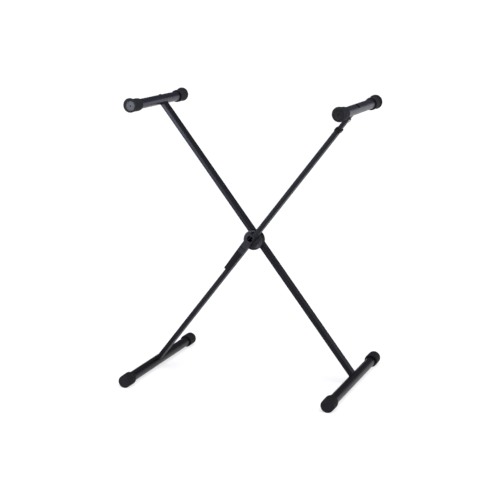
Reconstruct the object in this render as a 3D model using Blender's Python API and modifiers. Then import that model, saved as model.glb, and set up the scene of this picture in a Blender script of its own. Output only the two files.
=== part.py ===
"""Folding x-style keyboard stand with a trigger lever at the hub and one telescoping arm.

Units are metres, +Z is up, and the feet rest on Z = 0, with the origin in the middle of the
box round the stand. Two flat-sided legs cross at a hub.
Each leg carries a round foot tube and a round arm tube, both along Y. The rear leg is the
fixed body. The front leg folds about the hub, its arm slides in and out of its upper end,
and the lever on it draws a lock bolt out of the ratchet disc.

Every leg is modelled upright in its own frame: Z runs up the leg from the hub, X points to
the leg's underside for the front leg and to its upper side for the rear leg.
"""
from math import cos, pi, radians, sin, sqrt

import bmesh
import bpy
from mathutils import Vector

# Driving dimensions of the frame
LEG_LENGTH = 0.976          # foot tube axis to arm tube axis
LEAN = radians(37.7)        # each leg, from upright
LEG_WIDTH = 0.013           # leg tube across, in the plane of the X
LEG_DEPTH = 0.030           # leg tube, front to back
LEG_WALL = 0.0010
LEG_CORNER = 0.0026
HUB_SPACE = 0.024           # between the facing sides of the two legs
TUBE_R = 0.014              # foot and arm tubes
TUBE_WALL = 0.0015
FOOT_HALF = 0.237           # middle to the end of a foot cap
FOOT_SHIFT = 0.012          # the front leg's foot stands this far forward of the rear leg's
ARM_HALF = 0.177            # middle to the end of an arm cap
GAP = 0.0003                # between pieces that touch or slide

# Rubber caps, by how far they stand out from the tubes
FOOT_CAP_LENGTH = 0.041
FOOT_RUBBER = 0.0045        # on the front leg's foot
FOOT_RUBBER_HIGH = 0.0016   # extra above the rear leg's foot, whose caps are larger
FOOT_CAP_END = 0.004
FLOOR_FLAT = 0.0005         # worn off the underside of each foot cap
ARM_CAP_LENGTH = 0.046
ARM_RUBBER = 0.0041
ARM_REST_FLAT = 0.0004      # where the keyboard rests
LIP_HEIGHT = 0.0042         # above the rest of the arm cap, in line with the leg
LIP_THICK = 0.0038
PLUG_RECESS = 0.0010        # the end plug lies this far inside the lip
PLUG_THICK = 0.0024
ARM_HOLE_R = 0.0062
SIDE_HOLE_R = 0.0032

# Hub, from front to back
DRUM_R = 0.029
DRUM_WALL = 0.0028
DRUM_DISH = 0.0026          # depth of the ring-shaped dish in the drum's face, at its middle
DISH_EDGE = 0.0011          # its depth by the rim
CUP_FACE = 0.0029           # wall behind the dish
WASHER = 0.0006
REAR_PLATE = 0.0077
RUNNING_GAP = 0.0005        # between the two halves of the drum
RATCHET_R = 0.0235
RATCHET_NOTCHES = 24
NOTCH_DEPTH = 0.0028
BOLT_R = 0.003
BOLT_HEAD_R = 0.0044
BOLT_HEAD_H = 0.0060
NUT_R = 0.0058
NUT_H = 0.0050

# Yoke over the front leg at the hub
PLATE = 0.0016
YOKE_ABOVE = 0.0245         # hub to the yoke's upper end
YOKE_BELOW = 0.0252         # hub to its lower end
YOKE_RISE = 0.0080          # its back stands off the leg's upper side
WINDOW_R = 0.0086
WINDOW_Z = 0.0100           # above the hub
WINDOW_SHIFT = 0.0036       # towards the yoke's back
GUIDE_PAST_DRUM = 0.0040    # the lock bolt's guide below the drum's rim

# Trigger lever
LEVER_GAP = 0.0016          # yoke to lever, room for the lever to turn
LEVER_LENGTH = 0.0832
LEVER_RISE_TOP = 0.0078
LEVER_RISE_END = 0.0050
CHANNEL_LENGTH = 0.0157     # the steel part that shows above the grip
DRUM_ROOM = 0.0030          # the channel's back flange stays this far from the drum
GRIP_WALL = 0.0020
TONGUE_THICK = 0.0012
TONGUE_SHORT = 0.0250       # the tongue under the grip ends this far above its end
PIN_DROP = 0.0072           # lever's upper end to its pin
PIN_RISE = 0.0027           # leg's upper side to the pin's axis
PIN_R = 0.00125
RIVET_R = 0.0016
LOCK_SHIFT = 0.0020         # lock bolt's middle, towards the leg's upper side
LOCK_WIDTH = 0.0080
LOCK_THICK = 0.0068
LOCK_CLEAR = 0.0008         # lock bolt's tip to the ratchet's crests
LOCK_LENGTH = 0.0212
LINK_R = 0.0015
LINK_SIDE = 0.0010          # link pin, from the leg's centre line to its underside
LINK_DROP = 0.0055          # lever pin down to the link pin
LINK_TRAVEL = 0.0021        # along its slot as the lever turns

# Telescoping upper end of the front leg, below the arm's axis
LEG_SHORT = 0.070           # arm axis to the open end of the front leg tube
INSERT_DEPTH = 0.190        # of the insert inside the leg
INSERT_WALL = 0.0012
COLLAR_BELOW = 0.0075
COLLAR_ABOVE = 0.0032
COLLAR_WALL = 0.0015
STOP_DROP = 0.033           # arm axis to the stop bolt
STOP_R = 0.0024
STOP_NUT_H = 0.0036

# Sizes worked out from those above
HALF = LEG_LENGTH / 2
LEG_OFFSET = (LEG_DEPTH + HUB_SPACE) / 2
LEG_FRONT = -LEG_OFFSET - LEG_DEPTH / 2
LEG_BACK = -LEG_OFFSET + LEG_DEPTH / 2
INNER_WIDTH = LEG_WIDTH - 2 * LEG_WALL
INNER_DEPTH = LEG_DEPTH - 2 * LEG_WALL
BORE_R = TUBE_R + GAP
FOOT_CAP_R = TUBE_R + FOOT_RUBBER
ARM_CAP_R = TUBE_R + ARM_RUBBER
LIP_R = ARM_CAP_R + LIP_HEIGHT / 2
AXIS_Z = FOOT_CAP_R - FLOOR_FLAT
HUB_Z = AXIS_Z + HALF * cos(LEAN)
HOLE_R = BOLT_R + GAP
DRUM_FRONT = LEG_BACK + GAP
CUP_INSIDE = DRUM_FRONT + DRUM_DISH + CUP_FACE
RATCHET_FRONT = CUP_INSIDE + WASHER + 2 * GAP
REAR_PLATE_BACK = -LEG_BACK - GAP
REAR_PLATE_FRONT = REAR_PLATE_BACK - REAR_PLATE
CUP_BACK = REAR_PLATE_FRONT - RUNNING_GAP
FLANGE_FRONT = LEG_FRONT - GAP - PLATE
CHANNEL_BACK = LEG_BACK + GAP + PLATE
FLANGE_EDGE = LEG_WIDTH / 2 - GAP
GUIDE_BOTTOM = -DRUM_R - GUIDE_PAST_DRUM
YOKE_SIDE = LEG_WIDTH / 2 + YOKE_RISE
LEVER_TOP = -YOKE_BELOW - LEVER_GAP
LEVER_END = LEVER_TOP - LEVER_LENGTH
CHANNEL_END = LEVER_TOP - CHANNEL_LENGTH
PIN_X = -LEG_WIDTH / 2 - PIN_RISE
PIN_Z = LEVER_TOP - PIN_DROP
LOCK_FRONT = RATCHET_FRONT
LOCK_BACK = LOCK_FRONT + LOCK_THICK
LOCK_TIP = -RATCHET_R - LOCK_CLEAR
LINK_X = LINK_SIDE
LINK_Z = PIN_Z - LINK_DROP
LEG_TOP = HALF - LEG_SHORT
STOP_Z = HALF - STOP_DROP
ALONG_Y = (-pi / 2, 0, 0)   # turns a piece made along Z so that it runs along +Y
ALONG_X = (0, pi / 2, 0)

for old in list(bpy.data.objects):
    bpy.data.objects.remove(old, do_unlink=True)

stand = bpy.data.collections.new("keyboard_stand")
cutters = bpy.data.collections.new("cutters")
bpy.context.scene.collection.children.link(stand)
bpy.context.scene.collection.children.link(cutters)
cutters.hide_render = True

FINISHES = {
    "black_enamel": ((0.018, 0.018, 0.021, 1), 0.32, 0.0),
    "black_rubber": ((0.022, 0.023, 0.026, 1), 0.75, 0.0),
    "black_plastic": ((0.020, 0.020, 0.023, 1), 0.50, 0.0),
    "end_plug_plastic": ((0.055, 0.055, 0.062, 1), 0.25, 0.0),
    "zinc_steel": ((0.55, 0.56, 0.58, 1), 0.35, 1.0),
    "hub_steel": ((0.30, 0.30, 0.32, 1), 0.40, 1.0),
}


def arc(centre, radius, start, end, steps=4):
    """Points on an arc in a plane, angles in degrees."""
    turns = [radians(start + (end - start) * i / steps) for i in range(steps + 1)]
    return [(centre[0] + radius * cos(t), centre[1] + radius * sin(t)) for t in turns]


def rounded(width, depth, radius, steps=4, centre=(0, 0)):
    """Outline of a rectangle with rounded corners."""
    points = []
    for sx, sy, start in ((1, 1, 0), (-1, 1, 90), (-1, -1, 180), (1, -1, 270)):
        corner = (centre[0] + sx * (width / 2 - radius), centre[1] + sy * (depth / 2 - radius))
        points += arc(corner, radius, start, start + 90, steps)
    return points


def circle(radius, steps=32, centre=(0, 0)):
    return arc(centre, radius, 0, 360, steps)[:-1]


def place(obj, frame, location, rotation, group):
    group.objects.link(obj)
    obj.parent = frame
    obj.location = location
    obj.rotation_euler = rotation
    if group is cutters:
        obj.hide_render = True
        obj.display_type = "WIRE"
    return obj


def frame_at(name, location, tilt=0.0, parent=None):
    """Empty that carries the pieces of one body, turned about Y."""
    empty = bpy.data.objects.new(name, None)
    empty.empty_display_size = 0.03
    return place(empty, parent, location, (0, tilt, 0), stand)


def lathe(name, outline, frame, location=(0, 0, 0), rotation=ALONG_Y, steps=36, group=stand,
          closed=False):
    """Turned piece: the outline (radius, height) runs down its outer side."""
    mesh = bpy.data.meshes.new(name)
    edges = [(i, i + 1) for i in range(len(outline) - 1)]
    if closed:
        edges.append((len(outline) - 1, 0))
    mesh.from_pydata([(r, 0, h) for r, h in outline], edges, [])
    obj = place(bpy.data.objects.new(name, mesh), frame, location, rotation, group)
    screw = obj.modifiers.new("Turn", "SCREW")
    screw.steps = steps
    screw.render_steps = steps
    screw.use_merge_vertices = True
    screw.merge_threshold = 0.00001
    return obj


def prism(name, loops, thickness, frame, location=(0, 0, 0), rotation=(0, 0, 0), group=stand,
          flat=False):
    """Flat outlines filled and thickened along their normal, with inner outlines as holes."""
    curve = bpy.data.curves.new(name, "CURVE")
    curve.dimensions = "2D"
    curve.fill_mode = "BOTH"
    curve.extrude = thickness / 2
    for loop in loops:
        spline = curve.splines.new("POLY")
        spline.points.add(len(loop) - 1)
        for point, (x, y) in zip(spline.points, loop):
            point.co = (x, y, 0, 1)
        spline.use_cyclic_u = True
    shape = bpy.data.objects.new(name, curve)
    bpy.context.scene.collection.objects.link(shape)
    bpy.context.view_layer.update()
    mesh = bpy.data.meshes.new_from_object(shape.evaluated_get(
        bpy.context.evaluated_depsgraph_get()))
    bpy.data.objects.remove(shape, do_unlink=True)
    mesh.name = name
    made = bmesh.new()
    made.from_mesh(mesh)
    bmesh.ops.remove_doubles(made, verts=made.verts, dist=0.000001)
    if flat:
        bmesh.ops.dissolve_limit(made, angle_limit=radians(1), verts=made.verts,
                                 edges=made.edges)
    bmesh.ops.recalc_face_normals(made, faces=made.faces)
    made.to_mesh(mesh)
    made.free()
    return place(bpy.data.objects.new(name, mesh), frame, location, rotation, group)


def side_plate(name, outline, front, back, frame, group=stand):
    """Solid from front to back (y) whose outline lies in the plane of the leg (x, z)."""
    middle = (0, (front + back) / 2, 0)
    return prism(name, [outline], back - front, frame, middle, (pi / 2, 0, 0), group, flat=True)


def rod(name, radius, length, frame, location, rotation=ALONG_Y, steps=36, group=cutters):
    """Cylinder about its own middle; it is a cutter unless another group is given."""
    made = bmesh.new()
    bmesh.ops.create_cone(made, cap_ends=True, segments=steps, radius1=radius, radius2=radius,
                          depth=length)
    mesh = bpy.data.meshes.new(name)
    made.to_mesh(mesh)
    made.free()
    return place(bpy.data.objects.new(name, mesh), frame, location, rotation, group)


def block(name, low, high, frame):
    """Rectangular cutter between two corners."""
    made = bmesh.new()
    bmesh.ops.create_cube(made, size=1)
    bmesh.ops.scale(made, vec=[b - a for a, b in zip(low, high)], verts=made.verts)
    mesh = bpy.data.meshes.new(name)
    made.to_mesh(mesh)
    made.free()
    middle = [(a + b) / 2 for a, b in zip(low, high)]
    return place(bpy.data.objects.new(name, mesh), frame, middle, (0, 0, 0), cutters)


def combine(obj, tool, operation="DIFFERENCE"):
    change = obj.modifiers.new(tool.name, "BOOLEAN")
    change.operation = operation
    change.object = tool
    change.solver = "EXACT"
    return obj


def soften(obj, width, segments=2, angle=40):
    bevel = obj.modifiers.new("Edges", "BEVEL")
    bevel.width = width
    bevel.segments = segments
    bevel.limit_method = "ANGLE"
    bevel.angle_limit = radians(angle)
    return obj


def finish(obj, kind):
    """Own material, and smooth shading that keeps the sharp edges."""
    colour, roughness, metallic = FINISHES[kind]
    material = bpy.data.materials.new(obj.name + "_" + kind)
    material.use_nodes = True
    shader = material.node_tree.nodes["Principled BSDF"]
    shader.inputs["Base Color"].default_value = colour
    shader.inputs["Roughness"].default_value = roughness
    shader.inputs["Metallic"].default_value = metallic
    obj.data.materials.clear()
    obj.data.materials.append(material)
    return obj


def bake(obj, angle=35):
    """Applies the modifiers, so that the shape can be shaded and its edges marked."""
    bpy.context.view_layer.update()
    mesh = bpy.data.meshes.new_from_object(obj.evaluated_get(
        bpy.context.evaluated_depsgraph_get()))
    obj.modifiers.clear()
    obj.data = mesh
    mesh.shade_smooth()
    mesh.set_sharp_from_angle(angle=radians(angle))
    return obj


rear = frame_at("rear_leg_frame", (0, FOOT_SHIFT / 2, HUB_Z), -LEAN)
front = frame_at("front_leg_frame", (0, FOOT_SHIFT / 2, HUB_Z), LEAN)
front_foot = frame_at("front_foot_frame", (0, -FOOT_SHIFT, 0), 0, front)
arm_slide = frame_at("front_arm_frame", (0, 0, 0), 0, front)
trigger = frame_at("lever_frame", (PIN_X, 0, PIN_Z), 0, front)
lock_slide = frame_at("lock_bolt_frame", (0, 0, 0), 0, front)


def tube_outline(half_length, radius, wall, chamfer=0.0004):
    """Closed section of a round tube."""
    return [(radius, half_length - chamfer), (radius, -half_length + chamfer),
            (radius - chamfer, -half_length), (radius - wall, -half_length),
            (radius - wall, half_length), (radius - chamfer, half_length)]


def leg_tube(name, side, bottom, top, frame):
    """Rectangular tube, its ends cut to fit round the tubes along Y."""
    y = side * LEG_OFFSET
    outer = rounded(LEG_WIDTH, LEG_DEPTH, LEG_CORNER)
    inner = rounded(INNER_WIDTH, INNER_DEPTH, LEG_CORNER - LEG_WALL)
    leg = prism(name, [outer, inner], top - bottom, frame, (0, y, (top + bottom) / 2))
    combine(leg, rod(name + "_foot_cope", BORE_R, 0.1, frame, (0, y, -HALF)))
    if top > HALF - TUBE_R:
        combine(leg, rod(name + "_arm_cope", BORE_R, 0.1, frame, (0, y, HALF)))
    return leg


def flatten(cap, centre, height, length, frame, tilt):
    """Cuts a level flat at a height above (or, if negative, below) a tube's centre line."""
    wide = FOOT_CAP_R
    tool = block(cap.name + "_flat", (-wide, -length / 2 - GAP, -wide / 2),
                 (wide, length / 2 + GAP, wide / 2), frame)
    tool.rotation_euler = (0, -tilt, 0)
    reach = height + (wide / 2 if height > 0 else -wide / 2)
    tool.location = Vector(centre) + Vector((-sin(tilt), 0, cos(tilt))) * reach
    return combine(cap, tool)


def foot_cap(name, side, frame, tilt, extra):
    """Thick rubber cup over the end of a foot tube, flat underneath."""
    raised = extra / 2
    radius = FOOT_CAP_R + raised
    inner_end = FOOT_HALF - FOOT_CAP_LENGTH
    axis = Vector((-raised * sin(tilt), 0, -HALF + raised * cos(tilt)))
    outline = [(0, FOOT_CAP_LENGTH)]
    outline += arc((radius - 0.0012, FOOT_CAP_LENGTH - 0.0012), 0.0012, 90, 0, 2)
    outline += arc((radius - 0.0010, 0.0010), 0.0010, 0, -90, 2)
    outline.append((0, 0))
    along = ALONG_Y if side > 0 else (pi / 2, 0, 0)
    cap = lathe(name, outline, frame, axis + Vector((0, side * inner_end, 0)), along)
    depth = FOOT_CAP_LENGTH - FOOT_CAP_END
    bore = rod(name + "_bore", BORE_R, 2 * depth, frame, (0, side * inner_end, -HALF))
    combine(cap, bore)
    middle = side * (FOOT_HALF - FOOT_CAP_LENGTH / 2)
    return flatten(cap, (0, middle, -HALF), -AXIS_Z, FOOT_CAP_LENGTH, frame, tilt)


def arm_cap(name, side, frame, tilt):
    """Rubber sleeve over the end of an arm tube, with a lip that stops the keyboard."""
    inner_end = ARM_HALF - ARM_CAP_LENGTH
    along = ALONG_Y if side > 0 else (pi / 2, 0, 0)
    body = [(BORE_R, ARM_CAP_LENGTH), (ARM_CAP_R - 0.0006, ARM_CAP_LENGTH)]
    body += arc((ARM_CAP_R - 0.0014, 0.0014), 0.0014, 0, -90, 2)
    body.append((BORE_R, 0))
    cap = lathe(name, body, frame, (0, side * inner_end, HALF), along, closed=True)
    flat = ARM_CAP_LENGTH - LIP_THICK
    middle = side * (inner_end + flat / 2 - 2 * GAP)
    flatten(cap, (0, middle, HALF), ARM_CAP_R - ARM_REST_FLAT, flat - 2 * GAP, frame, tilt)
    edge = 0.0011
    lip_outline = [(0, LIP_THICK)]
    lip_outline += arc((LIP_R - edge, LIP_THICK - edge), edge, 90, 0, 2)
    lip_outline += arc((LIP_R - edge, edge), edge, 0, -90, 2)
    lip_outline.append((0, 0))
    lip_start = side * (ARM_HALF - LIP_THICK)
    lip = lathe(name + "_lip", lip_outline, frame, (0, lip_start, HALF + LIP_HEIGHT / 2),
                along, group=cutters)
    combine(lip, rod(name + "_bore", BORE_R, 4 * LIP_THICK, frame, (0, lip_start, HALF)))
    return combine(cap, lip, "UNION")


def end_plug(name, side, frame):
    """Plastic plug in the end of an arm tube, with a small centre hole."""
    face = ARM_HALF - PLUG_RECESS
    seat = face - PLUG_THICK
    outline = [(0.0014, face - 0.0004), (0.0018, face), (TUBE_R - 0.0006, face),
               (TUBE_R, face - 0.0006), (TUBE_R, seat),
               (TUBE_R - TUBE_WALL - GAP, seat), (TUBE_R - TUBE_WALL - GAP, seat - 0.0080),
               (TUBE_R - TUBE_WALL - 0.0018, seat - 0.0080),
               (TUBE_R - TUBE_WALL - 0.0018, seat), (0.0014, seat)]
    along = ALONG_Y if side > 0 else (pi / 2, 0, 0)
    return lathe(name, outline, frame, (0, 0, HALF), along, 24, closed=True)


def arm_tube(name, frame, plug_y):
    half_length = ARM_HALF - PLUG_RECESS - PLUG_THICK - GAP
    tube = lathe(name, tube_outline(half_length, TUBE_R, TUBE_WALL), frame, (0, 0, HALF),
                 closed=True)
    hole = rod(name + "_hole", ARM_HOLE_R, TUBE_R, frame, (0, plug_y, HALF + TUBE_R),
               (0, 0, 0))
    return combine(tube, hole)


def hole_plug(name, frame, plug_y):
    """Domed plastic plug, saddled to the arm tube, in line with the leg."""
    top = TUBE_R + 0.0014
    rim = ARM_HOLE_R + 0.0016
    base = sqrt(TUBE_R ** 2 - rim ** 2) - 0.0015
    outline = [(0, top + 0.0006), (rim - 0.0038, top + 0.0004), (rim - 0.0010, top - 0.0002),
               (rim, top - 0.0012), (rim, base), (0, base)]
    plug = lathe(name, outline, frame, (0, plug_y, HALF), (0, 0, 0), 28)
    combine(plug, rod(name + "_saddle", BORE_R, 0.04, frame, (0, plug_y, HALF)))
    stem = rod(name + "_stem", ARM_HOLE_R - GAP, 0.0045, frame,
               (0, plug_y, HALF + TUBE_R - 0.0015), (0, 0, 0), 28)
    return combine(plug, stem, "UNION")


def foot_with_caps(prefix, frame, tilt, extra):
    """Foot tube with its two caps, which can stand higher above the tube than below it."""
    half_length = FOOT_HALF - FOOT_CAP_END - GAP
    tube = lathe(prefix + "_foot_tube", tube_outline(half_length, TUBE_R, TUBE_WALL), frame,
                 (0, 0, -HALF), closed=True)
    finish(bake(tube), "black_enamel")
    for side, where in ((-1, "front"), (1, "back")):
        cap = foot_cap(prefix + "_foot_cap_" + where, side, frame, tilt, extra)
        finish(bake(cap), "black_rubber")


def arm_with_caps(prefix, frame, tilt, leg_side):
    finish(bake(arm_tube(prefix + "_arm_tube", frame, leg_side * LEG_OFFSET)), "black_enamel")
    for side, where in ((-1, "front"), (1, "back")):
        cap = arm_cap(prefix + "_arm_cap_" + where, side, frame, tilt)
        finish(bake(cap), "black_rubber")
        plug = end_plug(prefix + "_arm_end_plug_" + where, side, frame)
        finish(bake(plug), "end_plug_plastic")
    plug = hole_plug(prefix + "_arm_hole_plug", frame, leg_side * LEG_OFFSET)
    finish(bake(plug), "black_plastic")


def rear_leg_body():
    leg = leg_tube("rear_leg_tube", 1, -HALF, HALF, rear)
    combine(leg, rod("rear_leg_bolt_hole", HOLE_R, 0.04, rear, (0, LEG_OFFSET, 0), steps=24))
    combine(leg, rod("rear_leg_side_hole", SIDE_HOLE_R, LEG_WIDTH / 2, rear,
                     (LEG_WIDTH / 2, LEG_OFFSET, STOP_Z), ALONG_X, 24))
    finish(bake(leg), "black_enamel")
    foot_with_caps("rear", rear, -LEAN, FOOT_RUBBER_HIGH)
    arm_with_caps("rear", rear, -LEAN, 1)
    base = LEG_WIDTH / 2 + GAP
    stem = SIDE_HOLE_R - GAP
    outline = [(0, base + 0.0012), (SIDE_HOLE_R - 0.0008, base + 0.0011),
               (SIDE_HOLE_R + 0.0010, base + 0.0006), (SIDE_HOLE_R + 0.0016, base),
               (stem, base), (stem, base - 0.0030), (0, base - 0.0030)]
    side_plug = lathe("rear_leg_side_plug", outline, rear, (0, LEG_OFFSET, STOP_Z), ALONG_X, 32)
    finish(bake(side_plug), "black_plastic")
    rear_hub_parts()


def rear_hub_parts():
    """Rear half of the drum with the ratchet disc, and the bolt that joins the legs."""
    edge = 0.0016
    outline = [(HOLE_R, REAR_PLATE_BACK)]
    outline += arc((DRUM_R - edge, REAR_PLATE_BACK - edge), edge, 90, 0, 2)
    outline += [(DRUM_R, REAR_PLATE_FRONT + 0.0004), (DRUM_R - 0.0004, REAR_PLATE_FRONT),
                (HOLE_R, REAR_PLATE_FRONT)]
    plate = lathe("rear_hub_plate", outline, rear, steps=48, closed=True)
    finish(bake(plate), "black_enamel")

    ratchet_back = REAR_PLATE_FRONT - GAP
    pitch = 360 / RATCHET_NOTCHES
    gear = []
    for i in range(RATCHET_NOTCHES):
        for share, radius in ((0.00, RATCHET_R), (0.22, RATCHET_R),
                              (0.34, RATCHET_R - NOTCH_DEPTH), (0.88, RATCHET_R - NOTCH_DEPTH)):
            turn = radians((i + share) * pitch)
            gear.append((radius * cos(turn), radius * sin(turn)))
    middle = (0, (RATCHET_FRONT + ratchet_back) / 2, 0)
    disc = prism("ratchet_disc", [gear, circle(HOLE_R, 24)], ratchet_back - RATCHET_FRONT, rear,
                 middle, (pi / 2, 0, 0))
    finish(bake(disc), "hub_steel")

    seat = LEG_BACK - LEG_WALL - GAP
    leg_rear = LEG_OFFSET + LEG_DEPTH / 2
    washer_back = leg_rear + GAP + PLATE
    nut_back = washer_back + GAP + NUT_H
    bolt_end = nut_back + 0.0022
    outline = [(0, bolt_end), (BOLT_R - 0.0006, bolt_end), (BOLT_R, bolt_end - 0.0006),
               (BOLT_R, seat), (BOLT_HEAD_R, seat), (BOLT_HEAD_R, seat - BOLT_HEAD_H + 0.0006),
               (BOLT_HEAD_R - 0.0006, seat - BOLT_HEAD_H), (0, seat - BOLT_HEAD_H)]
    bolt = lathe("pivot_bolt", outline, rear, steps=32)
    socket = rod("pivot_bolt_socket", 0.66 * BOLT_HEAD_R, BOLT_HEAD_H, rear,
                 (0, seat - BOLT_HEAD_H, 0), steps=6)
    finish(bake(combine(bolt, socket)), "zinc_steel")

    washer_r = NUT_R + 0.0004
    outline = [(HOLE_R, washer_back), (washer_r, washer_back), (washer_r, leg_rear + GAP),
               (HOLE_R, leg_rear + GAP)]
    finish(bake(lathe("pivot_washer", outline, rear, steps=32, closed=True)), "zinc_steel")
    middle = (0, nut_back - NUT_H / 2, 0)
    nut = prism("pivot_nut", [circle(NUT_R, 6), circle(HOLE_R, 24)], NUT_H, rear, middle,
                ALONG_Y)
    finish(bake(nut), "zinc_steel")


def front_leg_body():
    leg = leg_tube("front_leg_tube", -1, -HALF, LEG_TOP, front)
    combine(leg, rod("front_leg_bolt_hole", HOLE_R, 0.01, front, (0, LEG_BACK, 0), steps=24))
    opening = rod("front_leg_opening", WINDOW_R - GAP, LEG_DEPTH, front,
                  (-WINDOW_SHIFT, LEG_FRONT, WINDOW_Z))
    finish(bake(combine(leg, opening)), "black_enamel")
    foot_with_caps("front", front_foot, LEAN, 0)
    hub_cup()
    hub_yoke()
    lever_hinge()

    washer_front = CUP_INSIDE + GAP
    washer_r = RATCHET_R / 2
    outline = [(HOLE_R, washer_front + WASHER), (washer_r, washer_front + WASHER),
               (washer_r, washer_front), (HOLE_R, washer_front)]
    finish(bake(lathe("thrust_washer", outline, front, steps=32, closed=True)), "zinc_steel")

    middle = LEG_TOP + (COLLAR_ABOVE - COLLAR_BELOW) / 2
    around = COLLAR_WALL + GAP
    outer = rounded(LEG_WIDTH + 2 * around, LEG_DEPTH + 2 * around, LEG_CORNER + around)
    insert_hole = rounded(INNER_WIDTH, INNER_DEPTH, LEG_CORNER - LEG_WALL)
    collar = prism("height_collar", [outer, insert_hole], COLLAR_ABOVE + COLLAR_BELOW, front,
                   (0, -LEG_OFFSET, middle))
    leg_hole = prism("height_collar_leg_hole",
                     [rounded(LEG_WIDTH + 2 * GAP, LEG_DEPTH + 2 * GAP, LEG_CORNER + GAP)],
                     0.02, front, (0, -LEG_OFFSET, LEG_TOP + GAP - 0.01), group=cutters)
    soften(combine(collar, leg_hole), 0.0006, 1, 60)
    finish(bake(collar), "black_plastic")


def hub_cup():
    """Front half of the drum: dished face, and a guide for the lock bolt on its rim."""
    dish = DRUM_FRONT + DRUM_DISH
    outline = [(DRUM_R - DRUM_WALL, CUP_BACK), (DRUM_R - 0.0004, CUP_BACK),
               (DRUM_R, CUP_BACK - 0.0004)]
    outline += arc((DRUM_R - 0.0016, DRUM_FRONT + 0.0016), 0.0016, 0, -90, 2)
    outline += [(DRUM_R - 0.0034, DRUM_FRONT), (DRUM_R - 0.0042, DRUM_FRONT + 0.7 * DISH_EDGE),
                (DRUM_R - 0.0052, DRUM_FRONT + DISH_EDGE)]
    outline += [(0.0104, dish), (0.0094, dish - 0.0006), (0.0084, DRUM_FRONT)]
    outline += [(HOLE_R, DRUM_FRONT), (HOLE_R, CUP_INSIDE), (DRUM_R - DRUM_WALL, CUP_INSIDE)]
    cup = lathe("hub_cup", outline, front, steps=48, closed=True)
    wall = LOCK_WIDTH / 2 + 0.0025
    guide = block("lock_guide", (-LOCK_SHIFT - wall, LOCK_FRONT - 0.0033, GUIDE_BOTTOM),
                  (-LOCK_SHIFT + wall, CUP_BACK, -DRUM_R + 0.0018), front)
    soften(guide, 0.0008, 2, 40)
    combine(cup, guide, "UNION")
    half = LOCK_WIDTH / 2 + GAP
    way = block("lock_way", (-LOCK_SHIFT - half, LOCK_FRONT - GAP, GUIDE_BOTTOM - 0.01),
                (-LOCK_SHIFT + half, LOCK_BACK + GAP, -DRUM_R / 2), front)
    finish(bake(combine(cup, way)), "black_enamel")


def hub_yoke():
    """Steel bracket over the front leg at the hub, with a round window above the pivot."""
    corner = 0.0060
    outline = [(FLANGE_EDGE, -YOKE_BELOW), (FLANGE_EDGE, YOKE_ABOVE - corner)]
    outline += arc((FLANGE_EDGE - corner, YOKE_ABOVE - corner), corner, 0, 90, 6)[1:]
    outline += arc((-YOKE_SIDE + corner, YOKE_ABOVE - corner), corner, 90, 180, 6)
    outline.append((-YOKE_SIDE, -YOKE_BELOW))
    yoke = side_plate("hub_yoke", outline, FLANGE_FRONT, DRUM_FRONT - GAP, front)
    soften(yoke, 0.0011, 3, 50)
    inside = block("hub_yoke_inside", (-YOKE_SIDE + PLATE, FLANGE_FRONT + PLATE, -2 * DRUM_R),
                   (DRUM_R, DRUM_R, 2 * DRUM_R), front)
    combine(yoke, inside)
    window = rod("hub_yoke_window", WINDOW_R, 3 * PLATE, front,
                 (-WINDOW_SHIFT, FLANGE_FRONT + PLATE / 2, WINDOW_Z))
    finish(bake(combine(yoke, window)), "black_enamel")


def lever_hinge():
    """Two ears on the leg's upper side, the pin through them and the return spring."""
    ear_r = PIN_RISE - GAP
    outline = [(-LEG_WIDTH / 2 - GAP, PIN_Z - 0.0038), (-LEG_WIDTH / 2 - GAP, PIN_Z + 0.0038)]
    outline += arc((PIN_X, PIN_Z), ear_r, 80, 280, 12)
    hole = rod("lever_hinge_hole", PIN_R + GAP, LEG_DEPTH, front,
               (PIN_X, -LEG_OFFSET, PIN_Z), steps=24)
    thick = 0.0040
    for where, middle in (("front", -0.0085), ("back", 0.0085)):
        ear = side_plate("lever_hinge_ear_" + where, outline,
                         middle - thick / 2 - LEG_OFFSET, middle + thick / 2 - LEG_OFFSET, front)
        finish(bake(combine(ear, hole)), "black_enamel")

    head_r = 0.0024
    head = 0.0009
    front_face = FLANGE_FRONT - GAP
    back_face = CHANNEL_BACK + GAP
    outline = [(0, back_face + head), (head_r - 0.0005, back_face + head),
               (head_r, back_face + head - 0.0005), (head_r, back_face), (PIN_R, back_face),
               (PIN_R, front_face), (head_r, front_face), (head_r, front_face - head + 0.0005),
               (head_r - 0.0005, front_face - head), (0, front_face - head)]
    pin = lathe("lever_pin", outline, front, (PIN_X, 0, PIN_Z), steps=24)
    finish(bake(pin), "black_enamel")

    finish(bake(torsion_spring("lever_spring")), "zinc_steel")


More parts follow.
